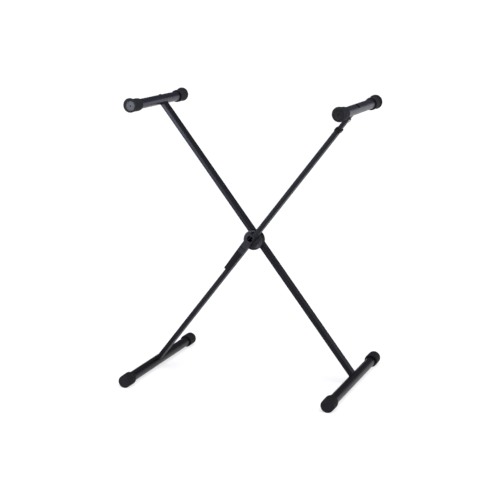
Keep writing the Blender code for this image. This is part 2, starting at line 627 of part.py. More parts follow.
def torsion_spring(name):
    """Coil round the lever pin, one tail on the leg and one under the lever."""
    wire = 0.0003
    mean = PIN_R + GAP + wire
    turns = 7
    pitch = 0.0011
    per_turn = 10
    start = -LEG_OFFSET - turns * pitch / 2
    curve = bpy.data.curves.new(name, "CURVE")
    curve.dimensions = "3D"
    curve.bevel_depth = wire
    curve.bevel_resolution = 1
    curve.use_fill_caps = True
    path = [Vector((mean, start, -0.0090))]
    for i in range(int((turns + 0.5) * per_turn) + 1):
        turn = 2 * pi * i / per_turn
        path.append(Vector((mean * cos(turn), start + pitch * i / per_turn, mean * sin(turn))))
    path.append(path[-1] + Vector((0, 0, -0.0030)))
    spline = curve.splines.new("POLY")
    spline.points.add(len(path) - 1)
    for point, place_at in zip(spline.points, path):
        point.co = (*place_at, 1)
    shape = bpy.data.objects.new(name + "_path", curve)
    bpy.context.scene.collection.objects.link(shape)
    bpy.context.view_layer.update()
    mesh = bpy.data.meshes.new_from_object(shape.evaluated_get(
        bpy.context.evaluated_depsgraph_get()))
    bpy.data.objects.remove(shape, do_unlink=True)
    welded = bmesh.new()
    welded.from_mesh(mesh)
    bmesh.ops.remove_doubles(welded, verts=welded.verts, dist=0.000001)
    bmesh.ops.recalc_face_normals(welded, faces=welded.faces)
    welded.to_mesh(mesh)
    welded.free()
    return place(bpy.data.objects.new(name, mesh), front, (PIN_X, 0, PIN_Z), (0, 0, 0), stand)


def side_at(z):
    """Outer face of the lever's back, from the leg's centre line, at height z."""
    share = (z - LEVER_TOP) / (LEVER_END - LEVER_TOP)
    return LEG_WIDTH / 2 + LEVER_RISE_TOP + share * (LEVER_RISE_END - LEVER_RISE_TOP)


def lever_shell(name, top, bottom, thickness, end_wall):
    """U-section along the lever between two heights, in the frame of the lever's pin."""
    def local(x, z):
        return (x - PIN_X, z - PIN_Z)

    corner = 0.0035 if end_wall else 0.0
    outline = [local(FLANGE_EDGE, top), local(-side_at(top), top)]
    if end_wall:
        outline += arc(local(-side_at(bottom) + corner, bottom + corner), corner, 180, 270, 5)
        outline += arc(local(FLANGE_EDGE - corner, bottom + corner), corner, 270, 360, 5)
    else:
        outline += [local(-side_at(bottom), bottom), local(FLANGE_EDGE, bottom)]
    shell = side_plate(name, outline, FLANGE_FRONT, CHANNEL_BACK, trigger)
    soften(shell, 0.0013, 3, 50)
    floor = bottom + thickness if end_wall else bottom - 0.01
    hollow = [local(0.03, top + 0.01), local(-side_at(top + 0.01) + thickness, top + 0.01),
              local(-side_at(floor) + thickness, floor), local(-LEG_WIDTH / 2 - GAP, floor),
              local(-LEG_WIDTH / 2 - GAP, bottom - 0.01), local(0.03, bottom - 0.01)]
    combine(shell, side_plate(name + "_inside", hollow, LEG_FRONT - GAP, LEG_BACK + GAP,
                              trigger, cutters))
    return shell


def tongue_outline():
    """Strip of the steel channel that runs on under the grip's back."""
    def local(x, z):
        return (x - PIN_X, z - PIN_Z)

    outer = GRIP_WALL + GAP
    inner = outer + TONGUE_THICK
    tip = LEVER_END + TONGUE_SHORT
    root = CHANNEL_END + 0.0025
    return [local(-side_at(CHANNEL_END) + PLATE / 2, root),
            local(-side_at(CHANNEL_END) + PLATE / 2, CHANNEL_END),
            local(-side_at(CHANNEL_END) + outer, CHANNEL_END),
            local(-side_at(tip) + outer, tip), local(-side_at(tip) + inner, tip),
            local(-side_at(root) + inner, root)]


def lever_body():
    channel = lever_shell("lever_channel", LEVER_TOP, CHANNEL_END, PLATE, False)
    tongue = side_plate("lever_tongue", tongue_outline(), -LEG_OFFSET - 0.0100,
                        -LEG_OFFSET + 0.0100, trigger, cutters)
    combine(channel, tongue, "UNION")
    combine(channel, rod("lever_channel_drum_room", DRUM_R + DRUM_ROOM, 3 * PLATE, trigger,
                         (-PIN_X, CHANNEL_BACK, -PIN_Z), steps=96))
    combine(channel, rod("lever_channel_pin_hole", PIN_R + GAP, 2 * LEG_DEPTH, trigger,
                         (0, -LEG_OFFSET, 0), steps=24))
    slot_x = LINK_X - PIN_X
    slot_z = LINK_Z - PIN_Z
    width = 2 * (LINK_R + GAP)
    slot = prism("lever_channel_link_slot", [rounded(LINK_TRAVEL + width, width, width / 2, 6)],
                 3 * PLATE, trigger,
                 (slot_x + LINK_TRAVEL / 2, CHANNEL_BACK - PLATE / 2, slot_z), (pi / 2, 0, 0),
                 cutters)
    combine(channel, slot)
    grip = lever_shell("lever_grip", CHANNEL_END - GAP, LEVER_END, GRIP_WALL, True)
    for where, z in rivet_heights():
        spot = (-side_at(z) - PIN_X, -LEG_OFFSET, z - PIN_Z)
        hole = rod("grip_rivet_hole_" + where, RIVET_R + GAP, 0.012, trigger, spot, ALONG_X, 24)
        combine(channel, hole)
        combine(grip, hole)
    finish(bake(channel), "black_enamel")
    finish(bake(grip), "black_plastic")
    grip_rivets()


def rivet_heights():
    """The rivets lie a quarter of the tongue's length from its two ends."""
    tip = LEVER_END + TONGUE_SHORT
    quarter = (CHANNEL_END - tip) / 4
    return (("upper", CHANNEL_END - quarter), ("lower", tip + quarter))


def grip_rivets():
    """Two rivets that hold the grip to the tongue, turned along -X."""
    for where, z in rivet_heights():
        out = side_at(z) + GAP
        tail = side_at(z) - GRIP_WALL - TONGUE_THICK - 2 * GAP
        outline = [(0, out + 0.0010), (RIVET_R, out + 0.0009), (RIVET_R + 0.0011, out + 0.0004),
                   (RIVET_R + 0.0015, out), (RIVET_R, out), (RIVET_R, tail),
                   (RIVET_R + 0.0010, tail), (RIVET_R + 0.0010, tail - 0.0006),
                   (0, tail - 0.0006)]
        rivet = lathe("grip_rivet_" + where, outline, trigger,
                      (-PIN_X, -LEG_OFFSET, z - PIN_Z), (0, -pi / 2, 0), 24)
        finish(bake(rivet), "zinc_steel")


def lock_bolt_body():
    low = -LOCK_SHIFT - LOCK_WIDTH / 2
    high = -LOCK_SHIFT + LOCK_WIDTH / 2
    tail = LOCK_TIP - LOCK_LENGTH
    outline = [(low, tail), (high, tail), (high, LOCK_TIP - 0.0015),
               (high - 0.0018, LOCK_TIP), (low + 0.0018, LOCK_TIP), (low, LOCK_TIP - 0.0015)]
    bolt = side_plate("lock_bolt", outline, LOCK_FRONT, LOCK_BACK, lock_slide)
    soften(bolt, 0.0003, 1, 40)
    hole = rod("lock_bolt_link_hole", LINK_R + GAP, 3 * LOCK_THICK, lock_slide,
               (LINK_X, 0, LINK_Z), steps=24)
    finish(bake(combine(bolt, hole)), "hub_steel")
    pin_front = LEG_BACK + GAP
    link = rod("link_pin", LINK_R, LOCK_BACK - pin_front, lock_slide,
               (LINK_X, (LOCK_BACK + pin_front) / 2, LINK_Z), steps=24, group=stand)
    finish(bake(link), "zinc_steel")


def front_arm_body():
    width = INNER_WIDTH - 2 * GAP
    depth = INNER_DEPTH - 2 * GAP
    outer = rounded(width, depth, LEG_CORNER - LEG_WALL)
    inner = rounded(width - 2 * INSERT_WALL, depth - 2 * INSERT_WALL, 0.0004, 1)
    bottom = LEG_TOP - INSERT_DEPTH
    insert = prism("insert_tube", [outer, inner], HALF - bottom, arm_slide,
                   (0, -LEG_OFFSET, (HALF + bottom) / 2))
    combine(insert, rod("insert_arm_cope", BORE_R, 0.1, arm_slide, (0, -LEG_OFFSET, HALF)))
    combine(insert, rod("insert_stop_hole", STOP_R + GAP, LEG_DEPTH, arm_slide,
                        (0, -LEG_OFFSET, STOP_Z), ALONG_X, 24))
    finish(bake(insert), "black_enamel")
    arm_with_caps("front", arm_slide, LEAN, -1)

    nut_near = width / 2 + GAP
    end = nut_near + STOP_NUT_H + 0.0008
    head = -width / 2 - GAP
    outline = [(0, end), (STOP_R - 0.0004, end), (STOP_R, end - 0.0004), (STOP_R, head),
               (STOP_R + 0.0018, head), (STOP_R + 0.0016, head - 0.0010),
               (STOP_R + 0.0006, head - 0.0019),
               (0, head - 0.0023)]
    at = (0, -LEG_OFFSET, STOP_Z)
    finish(bake(lathe("stop_bolt", outline, arm_slide, at, ALONG_X, 32)), "zinc_steel")
    nut = prism("stop_nut", [circle(2.5 * STOP_R, 6), circle(STOP_R + GAP, 24)], STOP_NUT_H,
                arm_slide, (nut_near + STOP_NUT_H / 2, -LEG_OFFSET, STOP_Z), ALONG_X)
    finish(bake(nut), "zinc_steel")


rear_leg_body()
front_leg_body()
front_arm_body()
lever_body()
lock_bolt_body()
bpy.context.view_layer.update()
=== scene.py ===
"""Looks of the folding keyboard stand: finer pieces, finishes, floor, lamps and camera.

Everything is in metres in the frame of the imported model. The pieces are worked out from the
same sizes as the solids, with finer curves, rounded edges, weld beads and threads.
"""
from math import atan2, cos, hypot, pi, radians, sin, sqrt, tan

import bmesh
import bpy
from mathutils import Matrix, Vector, noise


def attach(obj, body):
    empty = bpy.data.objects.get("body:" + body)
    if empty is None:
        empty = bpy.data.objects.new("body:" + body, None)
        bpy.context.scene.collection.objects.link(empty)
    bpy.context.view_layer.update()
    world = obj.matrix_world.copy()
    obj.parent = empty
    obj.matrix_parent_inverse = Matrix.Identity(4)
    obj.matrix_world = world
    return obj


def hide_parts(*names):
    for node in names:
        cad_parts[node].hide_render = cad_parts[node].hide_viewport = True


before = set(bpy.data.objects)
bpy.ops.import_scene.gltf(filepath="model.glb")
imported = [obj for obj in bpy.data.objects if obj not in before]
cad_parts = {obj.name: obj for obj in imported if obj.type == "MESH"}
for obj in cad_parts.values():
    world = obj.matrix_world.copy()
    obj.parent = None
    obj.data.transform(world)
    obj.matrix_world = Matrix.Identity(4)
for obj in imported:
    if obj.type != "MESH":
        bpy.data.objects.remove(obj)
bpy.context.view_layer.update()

# The stand's main sizes, as in the solids
LEG_LENGTH = 0.976
LEAN = radians(37.7)
LEG_WIDTH = 0.013
LEG_DEPTH = 0.030
LEG_WALL = 0.0010
LEG_CORNER = 0.0026
HUB_SPACE = 0.024
TUBE_R = 0.014
TUBE_WALL = 0.0015
TUBE_EDGE = 0.0004
FOOT_HALF = 0.237
FOOT_SHIFT = 0.012
ARM_HALF = 0.177
GAP = 0.0003
FOOT_CAP_LENGTH = 0.041
FOOT_RUBBER = 0.0045
FOOT_RUBBER_HIGH = 0.0016
FOOT_CAP_END = 0.004
FLOOR_FLAT = 0.0005
ARM_CAP_LENGTH = 0.046
ARM_RUBBER = 0.0041
ARM_REST_FLAT = 0.0004
ARM_TAPER = 0.0006
LIP_HEIGHT = 0.0042
LIP_THICK = 0.0038
PLUG_RECESS = 0.0010
PLUG_THICK = 0.0024
ARM_HOLE_R = 0.0062
SIDE_HOLE_R = 0.0032
DRUM_R = 0.029
DRUM_WALL = 0.0028
DRUM_DISH = 0.0026
DISH_EDGE = 0.0011
CUP_FACE = 0.0029
WASHER = 0.0006
REAR_PLATE = 0.0077
RUNNING_GAP = 0.0005
BOLT_R = 0.003
BOLT_HEAD_R = 0.0044
BOLT_HEAD_H = 0.0060
NUT_R = 0.0058
NUT_H = 0.0050
PLATE = 0.0016
YOKE_ABOVE = 0.0245
YOKE_BELOW = 0.0252
YOKE_RISE = 0.0080
WINDOW_R = 0.0086
WINDOW_Z = 0.0100
WINDOW_SHIFT = 0.0036
GUIDE_PAST_DRUM = 0.0040
LEVER_GAP = 0.0016
LEVER_LENGTH = 0.0832
LEVER_RISE_TOP = 0.0078
LEVER_RISE_END = 0.0050
CHANNEL_LENGTH = 0.0157
DRUM_ROOM = 0.0030
GRIP_WALL = 0.0020
TONGUE_THICK = 0.0012
TONGUE_SHORT = 0.0250
TONGUE_HALF = 0.0100
PIN_DROP = 0.0072
PIN_RISE = 0.0027
PIN_R = 0.00125
EAR_REACH = 0.0038
EAR_THICK = 0.0040
EAR_PLACE = 0.0085
RIVET_R = 0.0016
LOCK_SHIFT = 0.0020
LOCK_WIDTH = 0.0080
LOCK_THICK = 0.0068
LINK_R = 0.0015
LINK_X = 0.0010
LINK_DROP = 0.0055
LINK_TRAVEL = 0.0021
LEG_SHORT = 0.070
INSERT_DEPTH = 0.190
INSERT_WALL = 0.0012
COLLAR_BELOW = 0.0075
COLLAR_ABOVE = 0.0032
COLLAR_WALL = 0.0015
STOP_DROP = 0.033
STOP_R = 0.0024
STOP_NUT_H = 0.0036
STOP_PITCH = 0.0007
BOLT_PITCH = 0.0010

HALF = LEG_LENGTH / 2
LEG_OFFSET = (LEG_DEPTH + HUB_SPACE) / 2
LEG_FRONT = -LEG_OFFSET - LEG_DEPTH / 2
LEG_BACK = -LEG_OFFSET + LEG_DEPTH / 2
INNER_WIDTH = LEG_WIDTH - 2 * LEG_WALL
INNER_DEPTH = LEG_DEPTH - 2 * LEG_WALL
BORE_R = TUBE_R + GAP
FOOT_CAP_R = TUBE_R + FOOT_RUBBER
ARM_CAP_R = TUBE_R + ARM_RUBBER
LIP_R = ARM_CAP_R + LIP_HEIGHT / 2
AXIS_Z = FOOT_CAP_R - FLOOR_FLAT
HUB_Z = AXIS_Z + HALF * cos(LEAN)
ARM_Z = HUB_Z + HALF * cos(LEAN)
HOLE_R = BOLT_R + GAP
DRUM_FRONT = LEG_BACK + GAP
CUP_INSIDE = DRUM_FRONT + DRUM_DISH + CUP_FACE
RATCHET_FRONT = CUP_INSIDE + WASHER + 2 * GAP
REAR_PLATE_BACK = -LEG_BACK - GAP
REAR_PLATE_FRONT = REAR_PLATE_BACK - REAR_PLATE
CUP_BACK = REAR_PLATE_FRONT - RUNNING_GAP
FLANGE_FRONT = LEG_FRONT - GAP - PLATE
CHANNEL_BACK = LEG_BACK + GAP + PLATE
FLANGE_EDGE = LEG_WIDTH / 2 - GAP
GUIDE_BOTTOM = -DRUM_R - GUIDE_PAST_DRUM
YOKE_SIDE = LEG_WIDTH / 2 + YOKE_RISE
LEVER_TOP = -YOKE_BELOW - LEVER_GAP
LEVER_END = LEVER_TOP - LEVER_LENGTH
CHANNEL_END = LEVER_TOP - CHANNEL_LENGTH
PIN_X = -LEG_WIDTH / 2 - PIN_RISE
PIN_Z = LEVER_TOP - PIN_DROP
LOCK_FRONT = RATCHET_FRONT
LOCK_BACK = LOCK_FRONT + LOCK_THICK
LINK_Z = PIN_Z - LINK_DROP
LEG_TOP = HALF - LEG_SHORT
STOP_Z = HALF - STOP_DROP


def moved(x, y, z):
    return Matrix.Translation((x, y, z))


HUB_AT = moved(0, FOOT_SHIFT / 2, HUB_Z)
REAR = HUB_AT @ Matrix.Rotation(-LEAN, 4, "Y")
FRONT = HUB_AT @ Matrix.Rotation(LEAN, 4, "Y")
FRONT_FOOT = FRONT @ moved(0, -FOOT_SHIFT, 0)
REAR_LEG = REAR @ moved(0, LEG_OFFSET, 0)
FRONT_LEG = FRONT @ moved(0, -LEG_OFFSET, 0)
TO_BACK = Matrix.Rotation(-pi / 2, 4, "X")     # a piece made along Z then runs along +Y
TO_FRONT = Matrix.Rotation(pi / 2, 4, "X")
TO_X = Matrix.Rotation(pi / 2, 4, "Y")
TO_MINUS_X = Matrix.Rotation(-pi / 2, 4, "Y")
PIN_HOLE = FRONT @ (moved(PIN_X, -LEG_OFFSET, PIN_Z) @ TO_BACK)
STOP_HOLE = FRONT @ moved(0, -LEG_OFFSET, STOP_Z) @ TO_X
ENDS = {-1: ("front", TO_FRONT), 1: ("back", TO_BACK)}

ROUND_STEPS = 96
TRIM = 0.005         # plates are made this much too long and then cut square
CUT_EDGE = 0.0002    # their cut edges are eased by this much
CORNER_STEPS = 8
FAR = 0.1            # past every side of the hub, for cutters
WELD_STEP = 0.0004   # between two rings of a weld bead
WELD_LUMPS = 400     # uneven places to a metre of bead
ROPE_SIDES = 10      # of a bead or wire


# ---------------- outlines

def arc(centre, radius, start, end, steps):
    turns = [radians(start + (end - start) * i / steps) for i in range(steps + 1)]
    return [(centre[0] + radius * cos(t), centre[1] + radius * sin(t)) for t in turns]


def quarter(steps):
    """Angles of a quarter turn, with both ends."""
    return [pi / 2 * k / steps for k in range(steps + 1)]


def around(steps):
    """Angles of a whole turn, without its end."""
    return [2 * pi * k / steps for k in range(steps)]


def rounded(width, depth, radius, steps=CORNER_STEPS):
    """Outline of a rectangle with rounded corners."""
    points = []
    for sx, sy, start in ((1, 1, 0), (-1, 1, 90), (-1, -1, 180), (1, -1, 270)):
        corner = (sx * (width / 2 - radius), sy * (depth / 2 - radius))
        points += arc(corner, radius, start, start + 90, steps)
    return points


def fillet(points, size, steps=5):
    """Rounds the corners of an outline; size is one radius, or one for each corner.

    An outline that starts and ends on the axis has no radius there.
    """
    sizes = size if isinstance(size, (list, tuple)) else [size] * len(points)
    made = []
    for i, (corner, radius) in enumerate(zip(points, sizes)):
        corner = Vector(corner)
        if radius <= 0:
            made.append(tuple(corner))
            continue
        back = Vector(points[i - 1]) - corner
        ahead = Vector(points[(i + 1) % len(points)]) - corner
        half = back.angle(ahead) / 2
        reach = min(radius / tan(half), 0.49 * back.length, 0.49 * ahead.length)
        start = corner + back.normalized() * reach
        end = corner + ahead.normalized() * reach
        towards = (back.normalized() + ahead.normalized()).normalized()
        centre = corner + towards * reach / cos(half)
        first = atan2(*(start - centre).yx)
        turn = (atan2(*(end - centre).yx) - first + pi) % (2 * pi) - pi
        span = (start - centre).length
        for k in range(steps + 1):
            t = first + turn * k / steps
            made.append((centre.x + span * cos(t), centre.y + span * sin(t)))
    return made


def inset(points, distance):
    """Outline moved inwards, for one that runs anticlockwise."""
    made = []
    count = len(points)
    for i, (x, y) in enumerate(points):
        px, py = points[i - 1]
        nx, ny = points[(i + 1) % count]
        first = Vector((py - y, x - px))
        second = Vector((y - ny, nx - x))
        first.normalize()
        second.normalize()
        shift = (first + second) * distance / (1 + first.dot(second))
        made.append((x + shift.x, y + shift.y))
    return made


# ---------------- meshes

def put_in(obj):
    bpy.context.scene.collection.objects.link(obj)
    return obj


def skin(name, rings, place, loop=False):
    """Surface through rings of points; a ring of one point is a tip, a loop has no ends."""
    verts, faces, starts = [], [], []
    for ring in rings:
        starts.append(len(verts))
        verts += [place @ Vector(p) for p in ring]
    count = len(rings)
    for i in range(count if loop else count - 1):
        j = (i + 1) % count
        a, b = starts[i], starts[j]
        sides = max(len(rings[i]), len(rings[j]))
        for k in range(sides):
            m = (k + 1) % sides
            if len(rings[i]) == 1:
                faces.append((a, b + m, b + k))
            elif len(rings[j]) == 1:
                faces.append((a + k, a + m, b))
            else:
                faces.append((a + k, a + m, b + m, b + k))
    if not loop:
        for ring, start in ((rings[0], starts[0]), (rings[-1], starts[-1])):
            if len(ring) > 1:
                faces.append([start + k for k in range(len(ring))])
    mesh = bpy.data.meshes.new(name)
    mesh.from_pydata(verts, [], faces)
    made = bmesh.new()
    made.from_mesh(mesh)
    bmesh.ops.remove_doubles(made, verts=made.verts, dist=0.0000005)
    bmesh.ops.recalc_face_normals(made, faces=made.faces)
    made.to_mesh(mesh)
    made.free()
    return put_in(bpy.data.objects.new(name, mesh))


def turned(name, outline, place, steps=ROUND_STEPS, shape=None):
    """Turned about the place's Z. An outline that starts off the axis is a closed ring."""
    rings = []
    for r, h in outline:
        reach = [(shape(r, h, t) if shape else r, t) for t in around(steps)]
        ring = [(far * cos(t), far * sin(t), h) for far, t in reach]
        rings.append(ring if r > 1e-7 else [(0, 0, h)])
    return skin(name, rings, place, loop=outline[0][0] > 1e-7)


def slab(name, outline, front, back, place, edge=0.0, steps=4):
    """Solid from front to back (y), its outline in the plane of the leg (x, z)."""
    area = sum(ax * bz - bx * az
               for (ax, az), (bx, bz) in zip(outline, outline[1:] + outline[:1]))
    if area < 0:
        outline = outline[::-1]
    levels = [(0, front), (0, back)]
    if edge:
        levels = [(edge * (1 - sin(t)), front + edge * (1 - cos(t))) for t in quarter(steps)]
        levels += [(edge * (1 - cos(t)), back - edge * (1 - sin(t))) for t in quarter(steps)]
    rings = [[(x, y, z) for x, z in (inset(outline, d) if d else outline)]
             for d, y in levels]
    return skin(name, rings, place)


def block(low, high):
    """Box along the front leg."""
    outline = [(low[0], low[2]), (high[0], low[2]), (high[0], high[2]), (low[0], high[2])]
    return slab("cutter", outline, low[1], high[1], FRONT)


def sleeve(name, width, depth, radius, wall, bottom, top, place, edge=0.0003):
    """Rectangular tube; an end is a height, or a height for each x where it is coped."""
    def height(end, x):
        return end(x) if callable(end) else end

    def ring(move_in, end, up):
        points = rounded(width - 2 * move_in, depth - 2 * move_in,
                         max(radius - move_in, 0.0003))
        return [(x, y, height(end, x) + up) for x, y in points]

    def corner(end, sign, reverse=False):
        rows = [(edge * (1 - cos(t)), -sign * edge * (1 - sin(t))) for t in quarter(3)]
        rows += [(wall - d, up) for d, up in rows[::-1]]
        made = [ring(d, end, up) for d, up in rows]
        return made[::-1] if reverse else made

    low, high = height(bottom, 0), height(top, 0)
    middle = [ring(0, low + (high - low) * k / 6, 0) for k in range(1, 6)]
    rings = corner(top, 1) + corner(bottom, -1, True) + middle
    return skin(name, rings, place, loop=True)


def rope(name, path, radius, place, closed=False, outward=None):
    """Wire or weld bead along a path; radius may be one for each point."""
    count = len(path)
    path = [Vector(p) for p in path]
    rings = []
    side = None
    for i, here in enumerate(path):
        before = path[i - 1] if closed or i else here
        after = path[(i + 1) % count] if closed or i < count - 1 else here
        ahead = (after - before).normalized()
        if outward:
            side = Vector(outward[i])
        elif side is None:
            side = ahead.orthogonal()
        side = (side - ahead * side.dot(ahead)).normalized()
        across = ahead.cross(side)
        r = radius[i] if isinstance(radius, (list, tuple)) else radius
        rings.append([here + (side * cos(t) + across * sin(t)) * r
                      for t in around(ROPE_SIDES)])
    return skin(name, rings, place, loop=closed)


def cut(obj, tool, operation="DIFFERENCE"):
    """Boolean, done at once; the tool is used up."""
    change = obj.modifiers.new("Cut", "BOOLEAN")
    change.operation = operation
    change.object = tool
    change.solver = "EXACT"
    apply_all(obj)
    bpy.data.objects.remove(tool, do_unlink=True)
    return obj


def drill(obj, radius, length, place, steps=48):
    """Cuts a round hole with its middle at the place."""
    end = length / 2
    outline = [(0, -end), (radius, -end), (radius, end), (0, end)]
    return cut(obj, turned("cutter", outline, place, steps))


def apply_all(obj):
    bpy.context.view_layer.update()
    mesh = bpy.data.meshes.new_from_object(obj.evaluated_get(
        bpy.context.evaluated_depsgraph_get()))
    obj.modifiers.clear()
    obj.data = mesh
    return obj


def bevel(obj):
    """Eases the cut edges of a plate."""
    change = obj.modifiers.new("Edges", "BEVEL")
    change.width = CUT_EDGE
    change.segments = 2
    change.limit_method = "ANGLE"
    change.angle_limit = radians(50)
    return apply_all(obj)


def shade(obj, angle):
    """Smooth shading that keeps flat faces flat and sharp edges sharp."""
    obj.data.shade_smooth()
    obj.data.set_sharp_from_angle(angle=radians(angle))
    weigh = obj.modifiers.new("Normals", "WEIGHTED_NORMAL")
    weigh.keep_sharp = True
    weigh.weight = 60
    return apply_all(obj)


# ---------------- finishes

class Nodes:
    """Short hand for making a material or a world out of nodes."""

    def __init__(self, owner):
        owner.use_nodes = True
        self.owner = owner
        self.tree = owner.node_tree

    def add(self, kind, inputs=None, **settings):
        made = self.tree.nodes.new(kind)
        for key, value in settings.items():
            setattr(made, key, value)
        for key, value in (inputs or {}).items():
            self.put(made.inputs[key], value)
        return made

    def put(self, socket, value):
        if isinstance(value, bpy.types.NodeSocket):
            self.tree.links.new(value, socket)
        else:
            socket.default_value = value

    def span(self, value, low, high, start=0.0, end=1.0):
        inputs = {"Value": value, "From Min": start, "From Max": end, "To Min": low,
                  "To Max": high}
        return self.add("ShaderNodeMapRange", inputs).outputs["Result"]

    def maths(self, operation, a, b=0.0):
        return self.add("ShaderNodeMath", {0: a, 1: b}, operation=operation).outputs[0]

    def mix(self, share, first, second):
        inputs = {"Factor": share, 6: first, 7: second}
        return self.add("ShaderNodeMix", inputs, data_type="RGBA").outputs[2]

    def separate(self, vector):
        return self.add("ShaderNodeSeparateXYZ", {0: vector}).outputs


class Finish(Nodes):
    """A material of the stand."""

    def __init__(self, name):
        super().__init__(bpy.data.materials.new(name))
        self.shader = self.tree.nodes["Principled BSDF"]
        self.shader.distribution = "GGX"
        self.where = self.add("ShaderNodeTexCoord").outputs["Object"]

    def noise(self, scale, detail=3.0, roughness=0.5, where=None):
        inputs = {"Vector": where or self.where, "Scale": scale, "Detail": detail,
                  "Roughness": roughness}
        return self.add("ShaderNodeTexNoise", inputs).outputs["Fac"]

    def stretched(self, scale):
        inputs = {"Vector": self.where, "Scale": scale}
        return self.add("ShaderNodeMapping", inputs).outputs["Vector"]

    def bump(self, height, distance, normal=None):
        inputs = {"Height": height, "Distance": distance, "Strength": 1.0}
        if normal:
            inputs["Normal"] = normal
        return self.add("ShaderNodeBump", inputs).outputs["Normal"]

    def edges(self, radius, low, high):
        """1 where the surface turns within the radius, 0 where it is flat."""
        eased = self.add("ShaderNodeBevel", {"Radius": radius}, samples=4).outputs["Normal"]
        true = self.add("ShaderNodeNewGeometry").outputs["Normal"]
        dot = self.add("ShaderNodeVectorMath", {0: eased, 1: true},
                       operation="DOT_PRODUCT").outputs["Value"]
        return self.span(dot, 1.0, 0.0, 1 - high, 1 - low)

    def duller_aslant(self, rough, extra):
        """Rougher where the surface is seen at a slant, as a dusty coating looks."""
        facing = self.add("ShaderNodeLayerWeight", {"Blend": 0.5}).outputs["Facing"]
        slant = self.maths("POWER", facing, 4.0)
        return self.maths("ADD", rough, self.maths("MULTIPLY", slant, extra))

    def facing_along(self):
        """1 on faces that look to the front or back, 0 on those that look sideways."""
        normal = self.add("ShaderNodeTexCoord").outputs["Normal"]
        along = self.maths("ABSOLUTE", self.separate(normal)["Y"])
        return self.span(along, 0.0, 1.0, 0.3, 0.7)

    def set(self, **inputs):
        for key, value in inputs.items():
            self.put(self.shader.inputs[key.replace("_", " ")], value)
        return self.owner


DARK_ENAMEL = (0.0021, 0.0021, 0.0026, 1), (0.0038, 0.0038, 0.0046, 1)


def enamel(name, slant, first=DARK_ENAMEL[0], second=DARK_ENAMEL[1], level=0.18, rim=False,
           tint=(0.84, 0.87, 1.0, 1)):
    """Black stoved enamel: orange peel, a few dust nibs, paler in patches on sharp edges.

    With a rim, the faces that look sideways are dark and dull: painted shade on the rim.
    """
    n = Finish(name)
    peel = n.noise(620, 2.0, 0.45)
    ripple = n.noise(90, 2.0)
    nibs = n.span(n.noise(1500, 1.0), 0.0, 1.0, 0.72, 0.80)
    normal = n.bump(peel, 0.000012)
    normal = n.bump(ripple, 0.000030, normal=normal)
    normal = n.bump(nibs, 0.000010, normal=normal)
    handled = n.noise(14, 5.0, 0.6)
    # Paler in patches on sharp edges.
    light_edges = n.maths("MULTIPLY", n.edges(0.0005, 0.02, 0.30),
                   n.span(n.noise(260, 4.0, 0.65), 0.0, 1.0, 0.52, 0.66))
    tone = n.mix(n.span(handled, 0.0, 1.0, 0.35, 0.70), first, second)
    rough = n.maths("ADD", n.span(handled, 0.26, 0.35, 0.3, 0.7), n.span(peel, -0.02, 0.03))
    rough = n.duller_aslant(rough, slant)
    if rim:
        # Painted shade: faces that look sideways get the darkest enamel tone and little shine.
        along = n.facing_along()
        tone = n.mix(along, DARK_ENAMEL[1], tone)
        level = n.span(along, 0.03, level)
    tone = n.mix(light_edges, tone, (0.045, 0.045, 0.050, 1))
    return n.set(Base_Color=tone, Roughness=rough, Normal=normal, Specular_IOR_Level=level,
                 Specular_Tint=tint)


def rubber(name, first, second):
    """Moulded black rubber with a fine grain and a dusty bloom."""
    n = Finish(name)
    grain = n.noise(2600, 3.0, 0.6)
    lumps = n.noise(140, 3.0)
    bloom = n.span(n.noise(38, 5.0, 0.62), 0.0, 1.0, 0.40, 0.72)
    rubbed = n.edges(0.0012, 0.03, 0.45)
    normal = n.bump(grain, 0.000022)
    normal = n.bump(lumps, 0.000050, normal=normal)
    tone = n.mix(bloom, first, second)
    tone = n.mix(n.maths("MULTIPLY", rubbed, 0.6), tone, (0.030, 0.030, 0.034, 1))
    rough = n.maths("ADD", n.span(bloom, 0.68, 0.80), n.span(grain, -0.05, 0.05))
    return n.set(Base_Color=tone, Roughness=rough, Normal=normal, Specular_IOR_Level=0.10)


def paler(colour, times, more):
    return tuple(times * c + more for c in colour[:3]) + (1,)


def plastic(name, base, shine, level, grain_height=0.000012):
    """Moulded black plastic with a spark-eroded grain and faint flow marks."""
    n = Finish(name)
    grain = n.noise(3200, 2.0, 0.7)
    flow = n.noise(60, 3.0, 0.5, where=n.stretched((1.0, 0.35, 1.0)))
    rubbed = n.edges(0.0006, 0.03, 0.35)
    normal = n.bump(grain, grain_height)
    normal = n.bump(flow, 0.000040, normal=normal)
    tone = n.mix(n.span(flow, 0.0, 1.0, 0.3, 0.75), base, paler(base, 1.5, 0.002))
    tone = n.mix(n.maths("MULTIPLY", rubbed, 0.5), tone, paler(base, 2.4, 0.006))
    rough = n.maths("ADD", n.span(flow, shine - 0.04, shine + 0.06, 0.3, 0.7),
                    n.span(grain, -0.04, 0.04))
    return n.set(Base_Color=tone, Roughness=rough, Normal=normal, Specular_IOR_Level=level)


